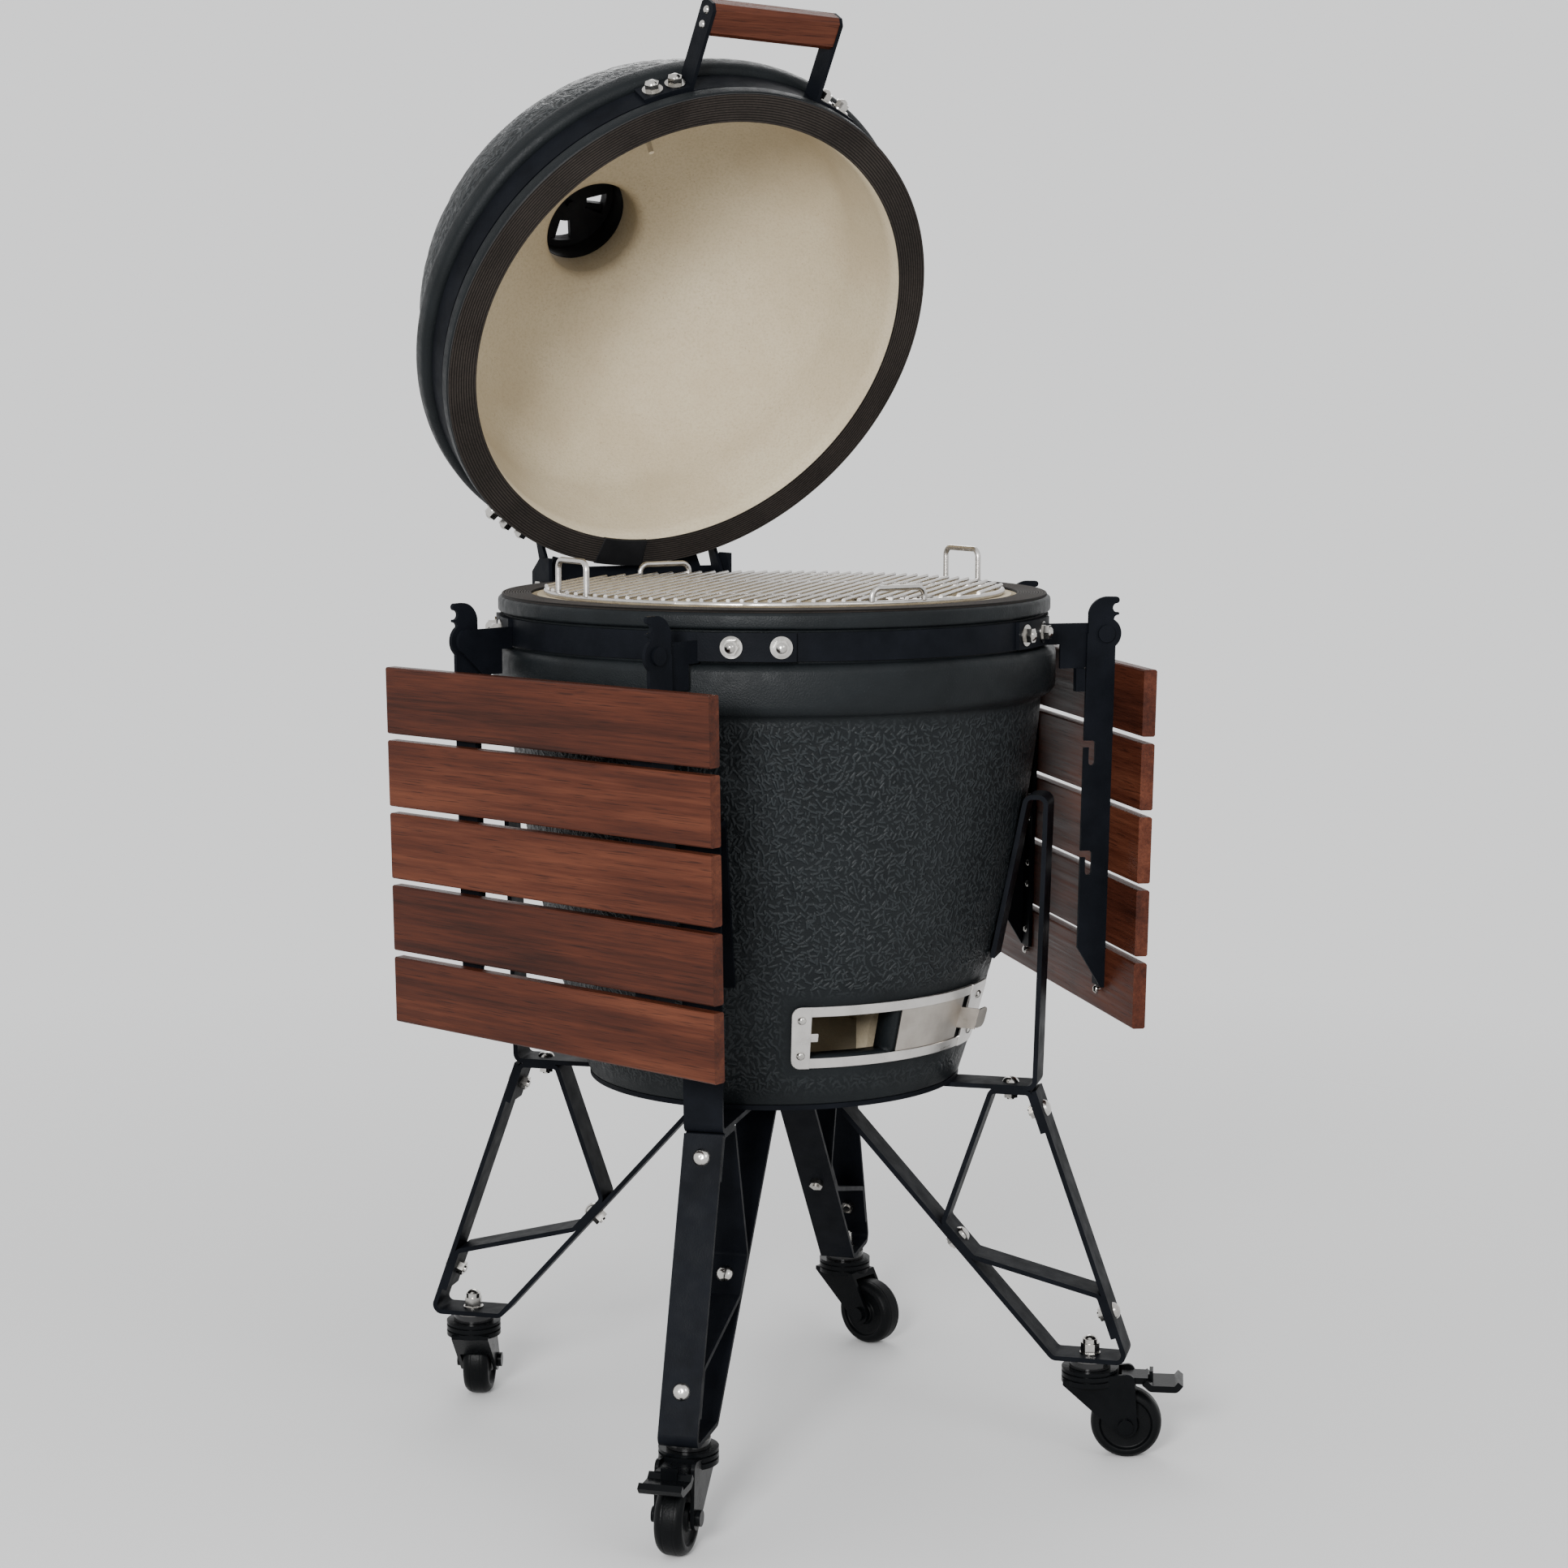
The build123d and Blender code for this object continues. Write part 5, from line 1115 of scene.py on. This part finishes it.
@dataclass
class LidDome:
    """Ceramic dome: stroked glaze outside, cream clay inside and in the flue."""

    rim_r: float = 288.4
    rim_z: float = 918.3
    seat_z: float = 934.3
    seat_r: float = 282.4
    shoulder_z: float = 968.3
    shoulder_r: float = 295.0
    shoulder_drop: float = 6.0
    dome_z: float = 1002.3
    dome_r: float = 273.0
    dome_rise: float = 209.0
    wall: float = 28.0
    flue_r: float = 56.0
    collar_r: float = 72.0
    collar_rise: float = 14.0
    flue_drop: float = 20.0
    flue_round: float = 15.0
    rim_rounds: tuple[float, ...] = (3, 3, 2, 2, 9, 12)
    collar_rounds: PAIR = (3, 3)
    fade_start: float = 2.0
    fade_low: float = 10.0
    fade_end: float = 6.0
    fade_high: float = 14.0
    # Darkening near the flue: partly soot, partly painted shade of the flue's mouth
    smoke: float = 0.22
    soot_and_shade_reach: float = 30.0
    soot_and_shade_wide: float = 2.2
    soot_and_shade_power: int = 3
    columns: int = 560
    rows: int = 104
    inner_rows: int = 26
    edge_end: int = 4
    edge_steps: int = 8
    skirt_rows: int = 4
    strokes: Strokes = LID_STROKES

    def ellipse(self, span: float, rise: float, stop_r: float, count: int) -> np.ndarray:
        """Part of a quarter ellipse above the dome's foot: (span cos t, rise sin t).

        Args:
            span: Radius at the foot.
            rise: Height at the middle.
            stop_r: Radius where it ends.
            count: Number of points.

        Returns:
            Array (count, 2) of radius and height.
        """
        end = np.arccos(stop_r / span)
        t = np.linspace(0, end, count)
        return np.column_stack([span * np.cos(t), self.dome_z + rise * np.sin(t)])

    def profile(self) -> tuple[np.ndarray, np.ndarray, np.ndarray]:
        """Closed section from the mouth over rim, dome and collar, down the flue and the inside.

        Returns:
            Points, the numbers of the dome's rows, and the finish of each stretch.
        """
        rim = rounded(
            [
                (MOUTH_R, self.rim_z),
                (self.rim_r, self.rim_z),
                (self.rim_r, self.seat_z),
                (self.seat_r, self.seat_z),
                (self.seat_r, self.shoulder_z),
                (self.shoulder_r, self.shoulder_z),
                (self.shoulder_r, self.dome_z - self.shoulder_drop),
                (self.dome_r, self.dome_z),
            ],
            self.rim_rounds,
        )
        dome = self.ellipse(self.dome_r, self.dome_rise, self.collar_r, self.rows)
        top_z = self.dome_z + self.dome_rise + self.collar_rise
        flue = (self.flue_r, top_z - self.flue_drop)
        collar = rounded(
            [tuple(dome[-1]), (self.collar_r, top_z), (self.flue_r, top_z), flue], self.collar_rounds
        )
        span, rise = self.dome_r - self.wall, self.dome_rise - self.wall
        inner = self.ellipse(span, rise, self.flue_r, self.inner_rows)[::-1]
        below = inner[self.edge_end :]
        edge = rounded([flue, tuple(inner[0]), tuple(below[0])], [self.flue_round], self.edge_steps)
        skirt = line(tuple(inner[-1]), (MOUTH_R, self.rim_z), self.skirt_rows)[1:-1]
        points = np.concatenate([rim, dome[1:], collar[1:], edge[1:-1], below, skirt])
        skins = np.full(len(points), Skin.GLAZE.value)
        # Clay starts with the collar's last stretch, the flue's wall
        # Dome and collar share a point with what is before them
        skins[len(rim) + len(dome) + len(collar) - 4 :] = Skin.CLAY.value
        return points, np.arange(len(rim), len(rim) + len(dome) - 1), skins

    def build(self, finishes: Finishes) -> PIECE:
        """Turn the closed section of the lid, with its strokes and its soot with painted shade by the flue,
        and open it.

        Args:
            finishes: Materials of the grill.

        Returns:
            The piece.
        """
        points, rows, skins = self.profile()
        angles = full_turn(self.columns)
        along = arc_lengths(points[rows])
        fade = np.clip((along - self.fade_start) / self.fade_low, 0, 1)
        fade *= np.clip((along[-1] - along - self.fade_end) / self.fade_high, 0, 1)
        section, stroked = self.strokes.raised_on(points, rows, angles, fade[:, None])
        # Soot with painted shade grows with height above the lowest level it reaches and with a power of the
        # nearness to the flue
        soot_and_shade_z = self.dome_z + self.dome_rise - self.wall - self.soot_and_shade_reach
        deep = np.clip((points[:, 1] - soot_and_shade_z) / self.soot_and_shade_reach, 0, 1)
        inwards = self.soot_and_shade_wide * self.flue_r - points[:, 0]
        near = np.clip(inwards / ((self.soot_and_shade_wide - 1) * self.flue_r), 0, 1)
        smoke = np.repeat(self.smoke * deep * near**self.soot_and_shade_power, self.columns)
        return mesh_piece(
            "glazed_lid",
            opened(turned(section, angles)),
            grid_faces(len(points), self.columns, wrap_rows=True),
            "lid",
            "glaze",
            ("lid_dome",),
            (finishes.lid_glaze, finishes.clay),
            np.repeat(skins, self.columns),
            marks={"stroked": stroked.ravel(), "smoke": smoke},
        )


@dataclass
class Seal:
    """Felt seal of bowl or lid: a flat ring whose outer face has fine round ridges."""

    name: str
    node: str
    body: str
    low_z: float
    high_z: float
    outer_r: float
    ridges_up: bool
    ridge_count: int = 11
    ridge: float = 0.9
    ridge_power: float = 0.7
    ridge_steps: int = 6
    columns: int = 360

    def build(self, finishes: Finishes, carry: Callable[[np.ndarray], np.ndarray]) -> PIECE:
        """Turn the ridged section: the face's height is a power of |sin(pi * ridge number)|.

        Args:
            finishes: Materials of the grill.
            carry: Moves points to the part's frame.

        Returns:
            The piece.
        """
        share = np.linspace(0, 1, self.ridge_count * self.ridge_steps + 1)
        radius = MOUTH_R + share * (self.outer_r - MOUTH_R)
        wave = np.abs(np.sin(share * self.ridge_count * np.pi)) ** self.ridge_power
        rise = wave * self.ridge - self.ridge
        face = np.column_stack([radius, (self.high_z + rise) if self.ridges_up else (self.low_z - rise)])
        back_z = self.low_z if self.ridges_up else self.high_z
        back = line((self.outer_r, back_z), (MOUTH_R, back_z), 2)
        points = np.concatenate([face, back])
        # Share of the ridge height at each point; the felt paints shade in the valleys from it
        crest = np.repeat(np.concatenate([1 + rise / self.ridge, np.ones(len(back))]), self.columns)
        return mesh_piece(
            self.name,
            carry(turned(points, full_turn(self.columns))),
            grid_faces(len(points), self.columns, wrap_rows=True),
            self.body,
            "felt",
            (self.node,),
            (finishes.felt,),
            marks={"crest": crest},
        )


@dataclass
class SealJoint:
    """Dark tape over the butt joint of the lid's seal, at the hinge side."""

    middle: float = 184.5
    half: float = 6.2
    inner_r: float = 255.6
    outer_r: float = 288.6
    low_z: float = 915.22
    high_z: float = 918.6
    corner: float = 0.8
    columns: int = 24

    def build(self, finishes: Finishes) -> PIECE:
        """Turn a rounded section through the joint's angle and close its ends on the section's middle.

        Args:
            finishes: Materials of the grill.

        Returns:
            The piece.
        """
        section = rounded(
            [
                (self.inner_r, self.high_z),
                (self.inner_r, self.low_z),
                (self.outer_r, self.low_z),
                (self.outer_r, self.high_z),
            ],
            (self.corner, self.corner),
        )
        run = np.concatenate([[-1.0], np.linspace(-1, 1, self.columns), [1.0]])
        swell = np.concatenate([[0.0], np.ones(self.columns), [0.0]])
        middle = section.mean(axis=0)
        sections = middle + swell[None, :, None] * (section - middle)[:, None, :]
        angles = np.radians(self.middle + run * self.half)
        faces = grid_faces(len(section), len(angles), wrap_rows=True, wrap_columns=False)
        placed = opened(turned(sections, angles))
        return mesh_piece("seal_joint", placed, faces, "lid", "felt", (), (finishes.tape,))


@dataclass
class DraftFrame:
    """Stainless frame of the draft door: two rails under two end plates with round corners, and a stop."""

    low_z: float = 446.0
    high_z: float = 513.0
    start: float = -26.5
    end: float = 42.0
    window_start: float = -21.5
    window_end: float = 31.0
    rail: float = 11.0
    rail_past: float = 1.0
    lip: float = 5.0
    back: float = 0.8
    sheet_back: float = 3.3
    rail_front: float = 4.3
    front: float = 5.3
    corner: float = 9.0
    sharp: float = 0.6
    edge: float = 0.5
    trim: float = 0.4
    overlap: float = 0.2
    stop_span: PAIR = (-0.4, 2.0)
    stop_half: float = 4.5
    stop_round: float = 1.2
    arc_steps: int = 7
    run_steps: int = 48

    def plate(
        self,
        span: PAIR,
        height: PAIR,
        depth: PAIR,
        corners: PAIR,
        low_r: float,
        slope: float,
    ) -> tuple[np.ndarray, np.ndarray]:
        """Bent plate: loops of a rounded outline at several depths, drawn together on its middle line.

        Args:
            span: First and last angle in degrees.
            height: Lowest and highest z.
            depth: Back and front, as distances off the bowl's wall.
            corners: Radius of the corners at the first and the last angle.
            low_r: Radius of the bowl at the frame's lower edge.
            slope: Rise of that radius with z.

        Returns:
            Points in the grill's own frame, and quads.
        """
        scale = np.radians(low_r)
        (left, right), (low, high) = np.array(span) * scale, height
        first, last = corners
        quarter = np.linspace(0, np.pi / 2, self.arc_steps)
        places = [
            (left + first, low + first, first, np.pi),
            (right - last, low + last, last, 1.5 * np.pi),
            (right - last, high - last, last, 0.0),
            (left + first, high - first, first, 0.5 * np.pi),
        ]
        arcs = [
            np.column_stack([x + r * np.cos(a + quarter), z + r * np.sin(a + quarter)])
            for x, z, r, a in places
        ]
        lower = line((left + first, low), (right - last, low), self.run_steps - 1)
        upper = line((right - last, high), (left + first, high), self.run_steps - 1)
        outline = np.concatenate([arcs[0], lower, arcs[1], arcs[2], upper, arcs[3]])
        size, middle = np.array([right - left, high - low]), np.array([left + right, low + high]) / 2
        inset = middle + (outline - middle) * (1 - 2 * self.edge / size)
        half = size.min() / 2
        bone = np.clip(outline, [left + half, low + half], [right - half, high - half])
        loops = np.stack([bone, outline, outline, inset, bone])
        off = np.array([depth[0], depth[0], depth[1] - self.edge, depth[1], depth[1]])[:, None]
        angle = np.radians(loops[..., 0] / scale)
        radius = low_r + slope * (loops[..., 1] - self.low_z) + off
        points = np.stack([radius * np.sin(angle), -radius * np.cos(angle), loops[..., 1]], axis=-1)
        return points.reshape(-1, 3), grid_faces(len(loops), len(outline))

    def build(self, finishes: Finishes, bowl: Bowl) -> PIECE:
        """Set the plates against the bowl's slope.

        Args:
            finishes: Materials of the grill.
            bowl: The bowl that carries the frame.

        Returns:
            The piece.
        """
        low_r, high_r = bowl.arc_radius(np.array([self.low_z, self.high_z]))
        slope = (high_r - low_r) / (self.high_z - self.low_z)
        rails = (self.window_start - self.rail_past, self.window_end + self.rail_past)
        tall, square = (self.low_z, self.high_z), (self.sharp, self.sharp)
        thick, thin = (self.sheet_back, self.front), (self.sheet_back, self.rail_front)
        folded = (self.back, self.sheet_back + self.overlap)
        low, high, middle = self.low_z + self.trim, self.high_z - self.trim, (self.low_z + self.high_z) / 2
        stop = tuple(self.window_start + step for step in self.stop_span)
        stop_z = (middle - self.stop_half, middle + self.stop_half)
        sheets = [
            ((self.start, self.window_start), tall, thick, (self.corner, self.sharp)),
            ((self.window_end, self.end), tall, thick, (self.sharp, self.corner)),
            (rails, (low, self.low_z + self.rail), thin, square),
            (rails, (self.high_z - self.rail, high), thin, square),
            (rails, (low, self.low_z + self.lip), folded, square),
            (rails, (self.high_z - self.lip, high), folded, square),
            (stop, stop_z, thin, (self.stop_round, self.stop_round)),
        ]
        points, faces, count = [], [], 0
        for sheet in sheets:
            some, quads = self.plate(*sheet, low_r, slope)
            points.append(some)
            faces.append(quads + count)
            count += len(some)
        return mesh_piece(
            "draft_surround",
            home(np.concatenate(points)),
            np.concatenate(faces),
            "base",
            "stainless",
            ("draft_frame",),
            (finishes.stainless,),
            smooth=False,
        )


@dataclass
class DialFace:
    """Face of the lid's thermometer: a thin disc with a scale of ticks and a needle."""

    turn: float = 2.5
    up: float = 165.0
    deep: float = 14.35
    face_r: float = 23.5
    thick: float = 0.25
    sweep: float = 131.0
    major_step: float = 26.0
    major_half: float = 1.6
    major_r: float = 16.5
    minor_step: float = 5.2
    minor_half: float = 0.7
    minor_r: float = 18.8
    tick_end: float = 21.5
    border_r: float = 22.6
    needle: float = -112.0
    needle_half: float = 0.9
    needle_end: float = 17.0
    boss_r: float = 2.6
    rings: int = 32
    columns: int = 360

    def build(self, finishes: Finishes, lid: LidDome) -> PIECE:
        """Lay a disc of rings on the dial and mark its ink: ticks by angle, a needle by distance from a ray.

        Args:
            finishes: Materials of the grill.
            lid: The dome that carries the dial.

        Returns:
            The piece.
        """
        radius = np.concatenate([np.linspace(0, self.face_r, self.rings), [self.face_r, 0.0]])
        level = np.concatenate([np.full(self.rings, self.thick), [0.0, 0.0]])
        angle = np.linspace(-180, 180, self.columns, endpoint=False)
        r, a = np.broadcast_arrays(radius[:, None], angle[None, :])
        major = self.to_tick(a, self.major_step) < self.major_half
        minor = self.to_tick(a, self.minor_step) < self.minor_half
        ticks = ((major & (r > self.major_r)) | (minor & (r > self.minor_r))) & (r < self.tick_end)
        off = np.radians(a - self.needle)
        hand = (np.abs(r * np.sin(off)) < self.needle_half) & (np.cos(off) > 0) & (r < self.needle_end)
        ink = (ticks & (np.abs(a) < self.sweep)) | hand | (r < self.boss_r) | (r > self.border_r)
        out = lid.dome_r * np.sqrt(1 - (self.up / lid.dome_rise) ** 2)
        way = np.array([np.sin(np.radians(self.turn)), -np.cos(np.radians(self.turn)), 0.0])
        normal = way * out / lid.dome_r**2 + np.array([0, 0, self.up / lid.dome_rise**2])
        normal /= np.linalg.norm(normal)
        across = np.cross([0.0, 0.0, 1.0], way)
        rise = np.cross(normal, across)
        centre = way * out + np.array([0, 0, lid.dome_z + self.up]) + normal * self.deep
        x, y = r * np.sin(np.radians(a)), r * np.cos(np.radians(a))
        points = centre + x[..., None] * across + y[..., None] * rise + level[:, None, None] * normal
        return mesh_piece(
            "dial_face",
            opened(points.reshape(-1, 3)),
            grid_faces(len(radius), self.columns),
            "lid",
            "stainless",
            (),
            (finishes.dial,),
            marks={"ink": ink.ravel()},
        )

    def to_tick(self, angle: np.ndarray, step: float) -> np.ndarray:
        """Angle to the nearest tick of a scale."""
        return np.abs((angle + step / 2) % step - step / 2)


@dataclass
class Vent:
    """Cast chimney vent: a collar whose plate has openings, and a cap with the same that turns over it."""

    collar_z: float = 1225.3
    plate_z: float = 1252.3
    plate_top_z: float = 1259.3
    cap_z: float = 1259.6
    cap_top_z: float = 1265.6
    flue_r: float = 56.0
    collar_r: float = 75.5
    cap_r: float = 72.0
    bolt_r: float = 4.0
    bolt_gap: float = 0.3
    bolt_low_z: float = 1245.6
    nut_r: float = 11.0
    nut_h: float = 7.0
    knob_out: float = 61.0
    knob_r: float = 6.6
    knob_h: float = 22.0
    knob_sunk: float = 0.5
    knob_waist: float = 1.2
    knob_rounds: TRIPLE = (0.3, 6.0, 3.0)
    knob_steps: int = 6
    knob_columns: int = 48
    collar_edge: PAIR = (3.0, 0.9)
    cap_edge: PAIR = (2.2, 0.7)
    cap_bevel: float = 1.0
    nut_bevel: float = 1.4
    crease: float = 32.0
    windows: int = 4
    window_r: PAIR = (23.0, 48.0)
    window_span: int = 32
    cap_lag: int = 12
    columns: int = 360

    def windowed(
        self, section: Sequence[PAIR], low: int, high: int, first: int
    ) -> tuple[np.ndarray, np.ndarray]:
        """Closed section turned about z, with the windows cut through two of its stretches and walled.

        Args:
            section: Closed section (radius, z).
            low: Stretch of the section that is the windows' lower mouth, running outwards.
            high: Stretch that is their upper mouth, running inwards.
            first: Column where the first window starts.

        Returns:
            Points as the lid lies when closed, and quads.
        """
        faces = grid_faces(len(section), self.columns, wrap_rows=True).reshape(-1, self.columns, 4)
        starts = first + np.arange(self.windows) * self.columns // self.windows
        cut = (starts[:, None] + np.arange(self.window_span)[None, :]).ravel() % self.columns
        keep = np.ones(faces.shape[:2], bool)
        keep[np.ix_([low, high], cut)] = False
        after = (cut + 1) % self.columns
        inner = np.column_stack([low * self.columns + cut, low * self.columns + after])
        inner_top = np.column_stack([(high + 1) * self.columns + after, (high + 1) * self.columns + cut])
        outer, outer_top = inner + self.columns, inner_top - self.columns
        ends = np.concatenate([starts, starts + self.window_span]) % self.columns
        sides = ends[:, None] + np.array([low, low + 1, high, high + 1])[None, :] * self.columns
        walls = [np.column_stack([inner, inner_top]), np.column_stack([outer, outer_top]), sides]
        return turned(np.array(section), full_turn(self.columns)), np.concatenate([faces[keep], *walls])

    def build(self, finishes: Finishes) -> None:
        """Turn the collar with its plate, then the cap with nut and knob, whose openings lag the plate's.

        Args:
            finishes: Materials of the grill.
        """
        near, far = self.window_r
        hole = self.bolt_r + self.bolt_gap
        first = -self.window_span // 2
        look = {"materials": (finishes.iron,), "crease": self.crease}
        collar_r, top_z, (wide, slight) = self.collar_r, self.plate_top_z, self.collar_edge
        collar = [
            (hole, self.plate_z),
            (near, self.plate_z),
            (far, self.plate_z),
            (self.flue_r, self.plate_z),
            (self.flue_r, self.collar_z),
            (collar_r, self.collar_z),
            (collar_r, top_z - wide),
            (collar_r - slight, top_z - slight),
            (collar_r - wide, top_z),
            (far, top_z),
            (near, top_z),
            (hole, top_z),
        ]
        mouths = collar.index((near, self.plate_z)), collar.index((far, top_z))
        points, faces = self.windowed(collar, *mouths, first)
        mesh_piece("vent_collar", opened(points), faces, "lid", "cast_iron", ("vent_base",), **look)
        cap_r, top_z, (wide, slight) = self.cap_r, self.cap_top_z, self.cap_edge
        nut_z = top_z + self.nut_h
        cap = [
            (0.0, self.bolt_low_z),
            (self.bolt_r, self.bolt_low_z),
            (self.bolt_r, self.cap_z),
            (near, self.cap_z),
            (far, self.cap_z),
            (cap_r - self.cap_bevel, self.cap_z),
            (cap_r, self.cap_z + self.cap_bevel),
            (cap_r, top_z - wide),
            (cap_r - slight, top_z - slight),
            (cap_r - wide, top_z),
            (far, top_z),
            (near, top_z),
            (self.nut_r, top_z),
            (self.nut_r, nut_z - self.nut_bevel),
            (self.nut_r - self.nut_bevel, nut_z),
            (0.0, nut_z),
        ]
        mouths = cap.index((near, self.cap_z)), cap.index((far, top_z))
        points, faces = self.windowed(cap, *mouths, first - self.cap_lag)
        foot_z, end_z = top_z - self.knob_sunk, top_z + self.knob_h
        waist = (self.knob_r - self.knob_waist, top_z + self.knob_h / 2)
        corners = [(0.0, foot_z), (self.knob_r, foot_z), waist, (self.knob_r, end_z), (0.0, end_z)]
        knob = rounded(corners, self.knob_rounds, self.knob_steps)
        placed = turned(knob, full_turn(self.knob_columns)) + np.array([0.0, -self.knob_out, 0.0])
        faces = np.concatenate([faces, grid_faces(len(knob), self.knob_columns) + len(points)])
        points = np.concatenate([points, placed])
        mesh_piece("vent_disc", opened(points), faces, "vent_cap", "cast_iron", ("vent_cap",), **look)


@dataclass
class Wheel:
    """Hard rubber wheel: rounded tread with two fine grooves, dished web and hub."""

    name: str
    leg_angle: float
    turn: float
    radius: float = 37.5
    half: float = 14.5
    bore: float = 4.05
    hub_r: float = 13.0
    web_r: float = 28.0
    dish: float = 4.5
    crown: float = 5.0
    crown_power: float = 4.0
    groove: float = 0.6
    groove_at: float = 0.4
    groove_half: float = 0.03
    hub_in: float = 0.2
    side_in: float = 0.4
    hub_slope: PAIR = (-0.5, 1.0)
    web_slope: float = 1.5
    side_rounds: tuple[float, ...] = (1.2, 2, 2, 1.2)
    tread_rows: int = 41
    stem_r: float = 346.0
    trail: float = 39.0
    columns: int = 96

    def build(self, finishes: Finishes) -> PIECE:
        """Turn a section with a tread of radius - crown |t|^power about its axle and set it under its stem.

        Args:
            finishes: Materials of the grill.

        Returns:
            The piece.
        """
        tread = np.linspace(1, -1, self.tread_rows)
        grooves = np.abs(np.abs(tread) - self.groove_at) < self.groove_half
        crown = self.radius - self.crown * np.abs(tread) ** self.crown_power - self.groove * grooves
        hub, web, side_z = self.half - self.hub_in, self.half - self.dish, self.half - self.side_in
        hub_top, hub_foot = self.hub_r + np.array(self.hub_slope)
        side = rounded(
            [
                (self.bore, hub),
                (hub_top, hub),
                (hub_foot, web),
                (self.web_r - self.web_slope, web),
                (self.web_r, side_z),
                (self.radius - self.crown, side_z),
            ],
            self.side_rounds,
        )
        section = np.concatenate([side, np.column_stack([crown, tread * side_z]), (side * [1, -1])[::-1]])
        out, along, up = turned(section, full_turn(self.columns)).T[[0, 2, 1]]
        heading, leg = np.radians(self.turn - 90), np.radians(self.leg_angle)
        cosine, sine = np.cos(heading), np.sin(heading)
        out = out + self.trail
        x = self.stem_r * np.sin(leg) + out * cosine - along * sine
        y = -self.stem_r * np.cos(leg) + out * sine + along * cosine
        return mesh_piece(
            f"tyre_{self.name}",
            home(np.column_stack([x, y, up + self.radius])),
            grid_faces(len(section), self.columns, wrap_rows=True),
            f"wheel_{self.name}",
            "wheel_rubber",
            (f"wheel_{self.name}",),
            (finishes.rubber,),
        )


@dataclass
class Studio:
    """Pale floor, soft lights and the camera of the photograph."""

    view_turn: float = 30.9
    distance: float = 3308.7
    eye_z: float = 1132.6
    pitch: float = 7.3
    focal_px: float = 3858.4
    frame_px: float = 1932.0
    axis_px: float = 954.0
    sensor: float = 36.0
    floor_reach: float = 2.6
    floor_clear: float = 0.55
    floor_tone: float = 0.62
    floor_rough: float = 0.95
    aim: TRIPLE = (0.0, 0.0, 0.8)
    sky: TRIPLE = (0.94, 0.945, 0.95)
    sky_strength: float = 1.25

    def camera(self) -> PIECE:
        """Camera at the photograph's place, with its lens and shift.

        Returns:
            The camera.
        """
        turn = np.radians(self.view_turn)
        data = bpy.data.cameras.new("photo_camera")
        data.sensor_width = self.sensor
        data.lens = self.focal_px / self.frame_px * self.sensor
        data.shift_x = (self.frame_px / 2 - self.axis_px) / self.frame_px
        camera = linked("photo_camera", data)
        eye = np.array([-np.sin(turn) * self.distance, -np.cos(turn) * self.distance, self.eye_z])
        camera.location = home(eye) * MM
        camera.rotation_euler = (np.radians(90 - self.pitch), 0, -turn)
        bpy.context.scene.camera = camera
        return camera

    def lamp(self, name: str, place: Sequence[float], size: float, power: float) -> PIECE:
        """Square soft light that looks at the middle of the grill.

        Args:
            name: Name of the light.
            place: Where it stands, in metres.
            size: Its side in metres.
            power: Its power in watts.

        Returns:
            The light.
        """
        data = bpy.data.lights.new(name, "AREA")
        data.size = size
        data.energy = power
        lamp = linked(name, data)
        lamp.location = place
        lamp.rotation_euler = (Vector(self.aim) - Vector(place)).to_track_quat("-Z", "Y").to_euler()
        return lamp

    def floor(self) -> PIECE:
        """Plain pale floor that fades into the surroundings away from the grill.

        Returns:
            The floor.
        """
        mesh = bpy.data.meshes.new("floor")
        reach = self.floor_reach
        corners = [(-reach, -reach, 0), (reach, -reach, 0), (reach, reach, 0), (-reach, reach, 0)]
        mesh.from_pydata(corners, [], [(0, 1, 2, 3)])
        tree = Tree("pale_floor")
        away = tree.add("ShaderNodeVectorMath", {0: tree.place()}, operation="LENGTH").outputs["Value"]
        shown = tree.span(away, (self.floor_clear, reach), (1.0, 0.0))
        tone = (self.floor_tone,) * 3
        look = {"Base_Color": tone, "Roughness": self.floor_rough, "Specular_IOR_Level": 0.0}
        mesh.materials.append(tree.dress(**look, Alpha=shown))
        floor = linked("floor", mesh)
        return floor

    def build(self) -> None:
        """Set up camera, floor, lights and the pale surroundings."""
        self.camera()
        self.floor()
        self.lamp("key", (-2.9, -3.0, 1.9), size=1.0, power=230)
        self.lamp("fill", (0.6, -3.9, 2.8), size=1.2, power=25)
        self.lamp("rim", (1.6, 2.8, 3.0), size=1.8, power=42)
        world = bpy.data.worlds.new("pale_world")
        bpy.context.scene.world = world
        world.use_nodes = True
        sky = world.node_tree.nodes["Background"]
        sky.inputs["Color"].default_value = (*self.sky, 1.0)
        sky.inputs["Strength"].default_value = self.sky_strength


def dress_nodes(finishes: Finishes, nodes: Iterable[PIECE]) -> None:
    """Give every carried-over CAD node its finish.

    Args:
        finishes: Materials of the grill.
        nodes: Objects of the CAD nodes.
    """
    for node in nodes:
        material = finishes.node_material(node.name)
        node.data.materials.clear()
        node.data.materials.append(material)
        LOG.info("%s: %s", node.name, material.name)


def main() -> None:
    """Build the studio, dress the CAD nodes and make the pieces that stand for some of them."""
    logging.basicConfig(level=logging.INFO, format="%(message)s")
    Studio().build()
    finishes = Finishes()
    dress_nodes(finishes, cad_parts.values())
    bowl, lid = Bowl(), LidDome()
    bowl.build(finishes)
    lid.build(finishes)
    DraftFrame().build(finishes, bowl)
    DialFace().build(finishes, lid)
    Vent().build(finishes)
    below = Seal(
        "bowl_seal", "bowl_gasket", "base", low_z=bowl.top_z, high_z=915.0, outer_r=287.0, ridges_up=True
    )
    below.build(finishes, home)
    above = Seal(
        "lid_seal", "lid_gasket", "lid", low_z=915.3, high_z=lid.rim_z, outer_r=287.6, ridges_up=False
    )
    above.build(finishes, opened)
    SealJoint().build(finishes)
    for name, (leg_angle, turn) in CASTERS.items():
        Wheel(name, leg_angle, turn).build(finishes)


if __name__ == "__main__":
    main()
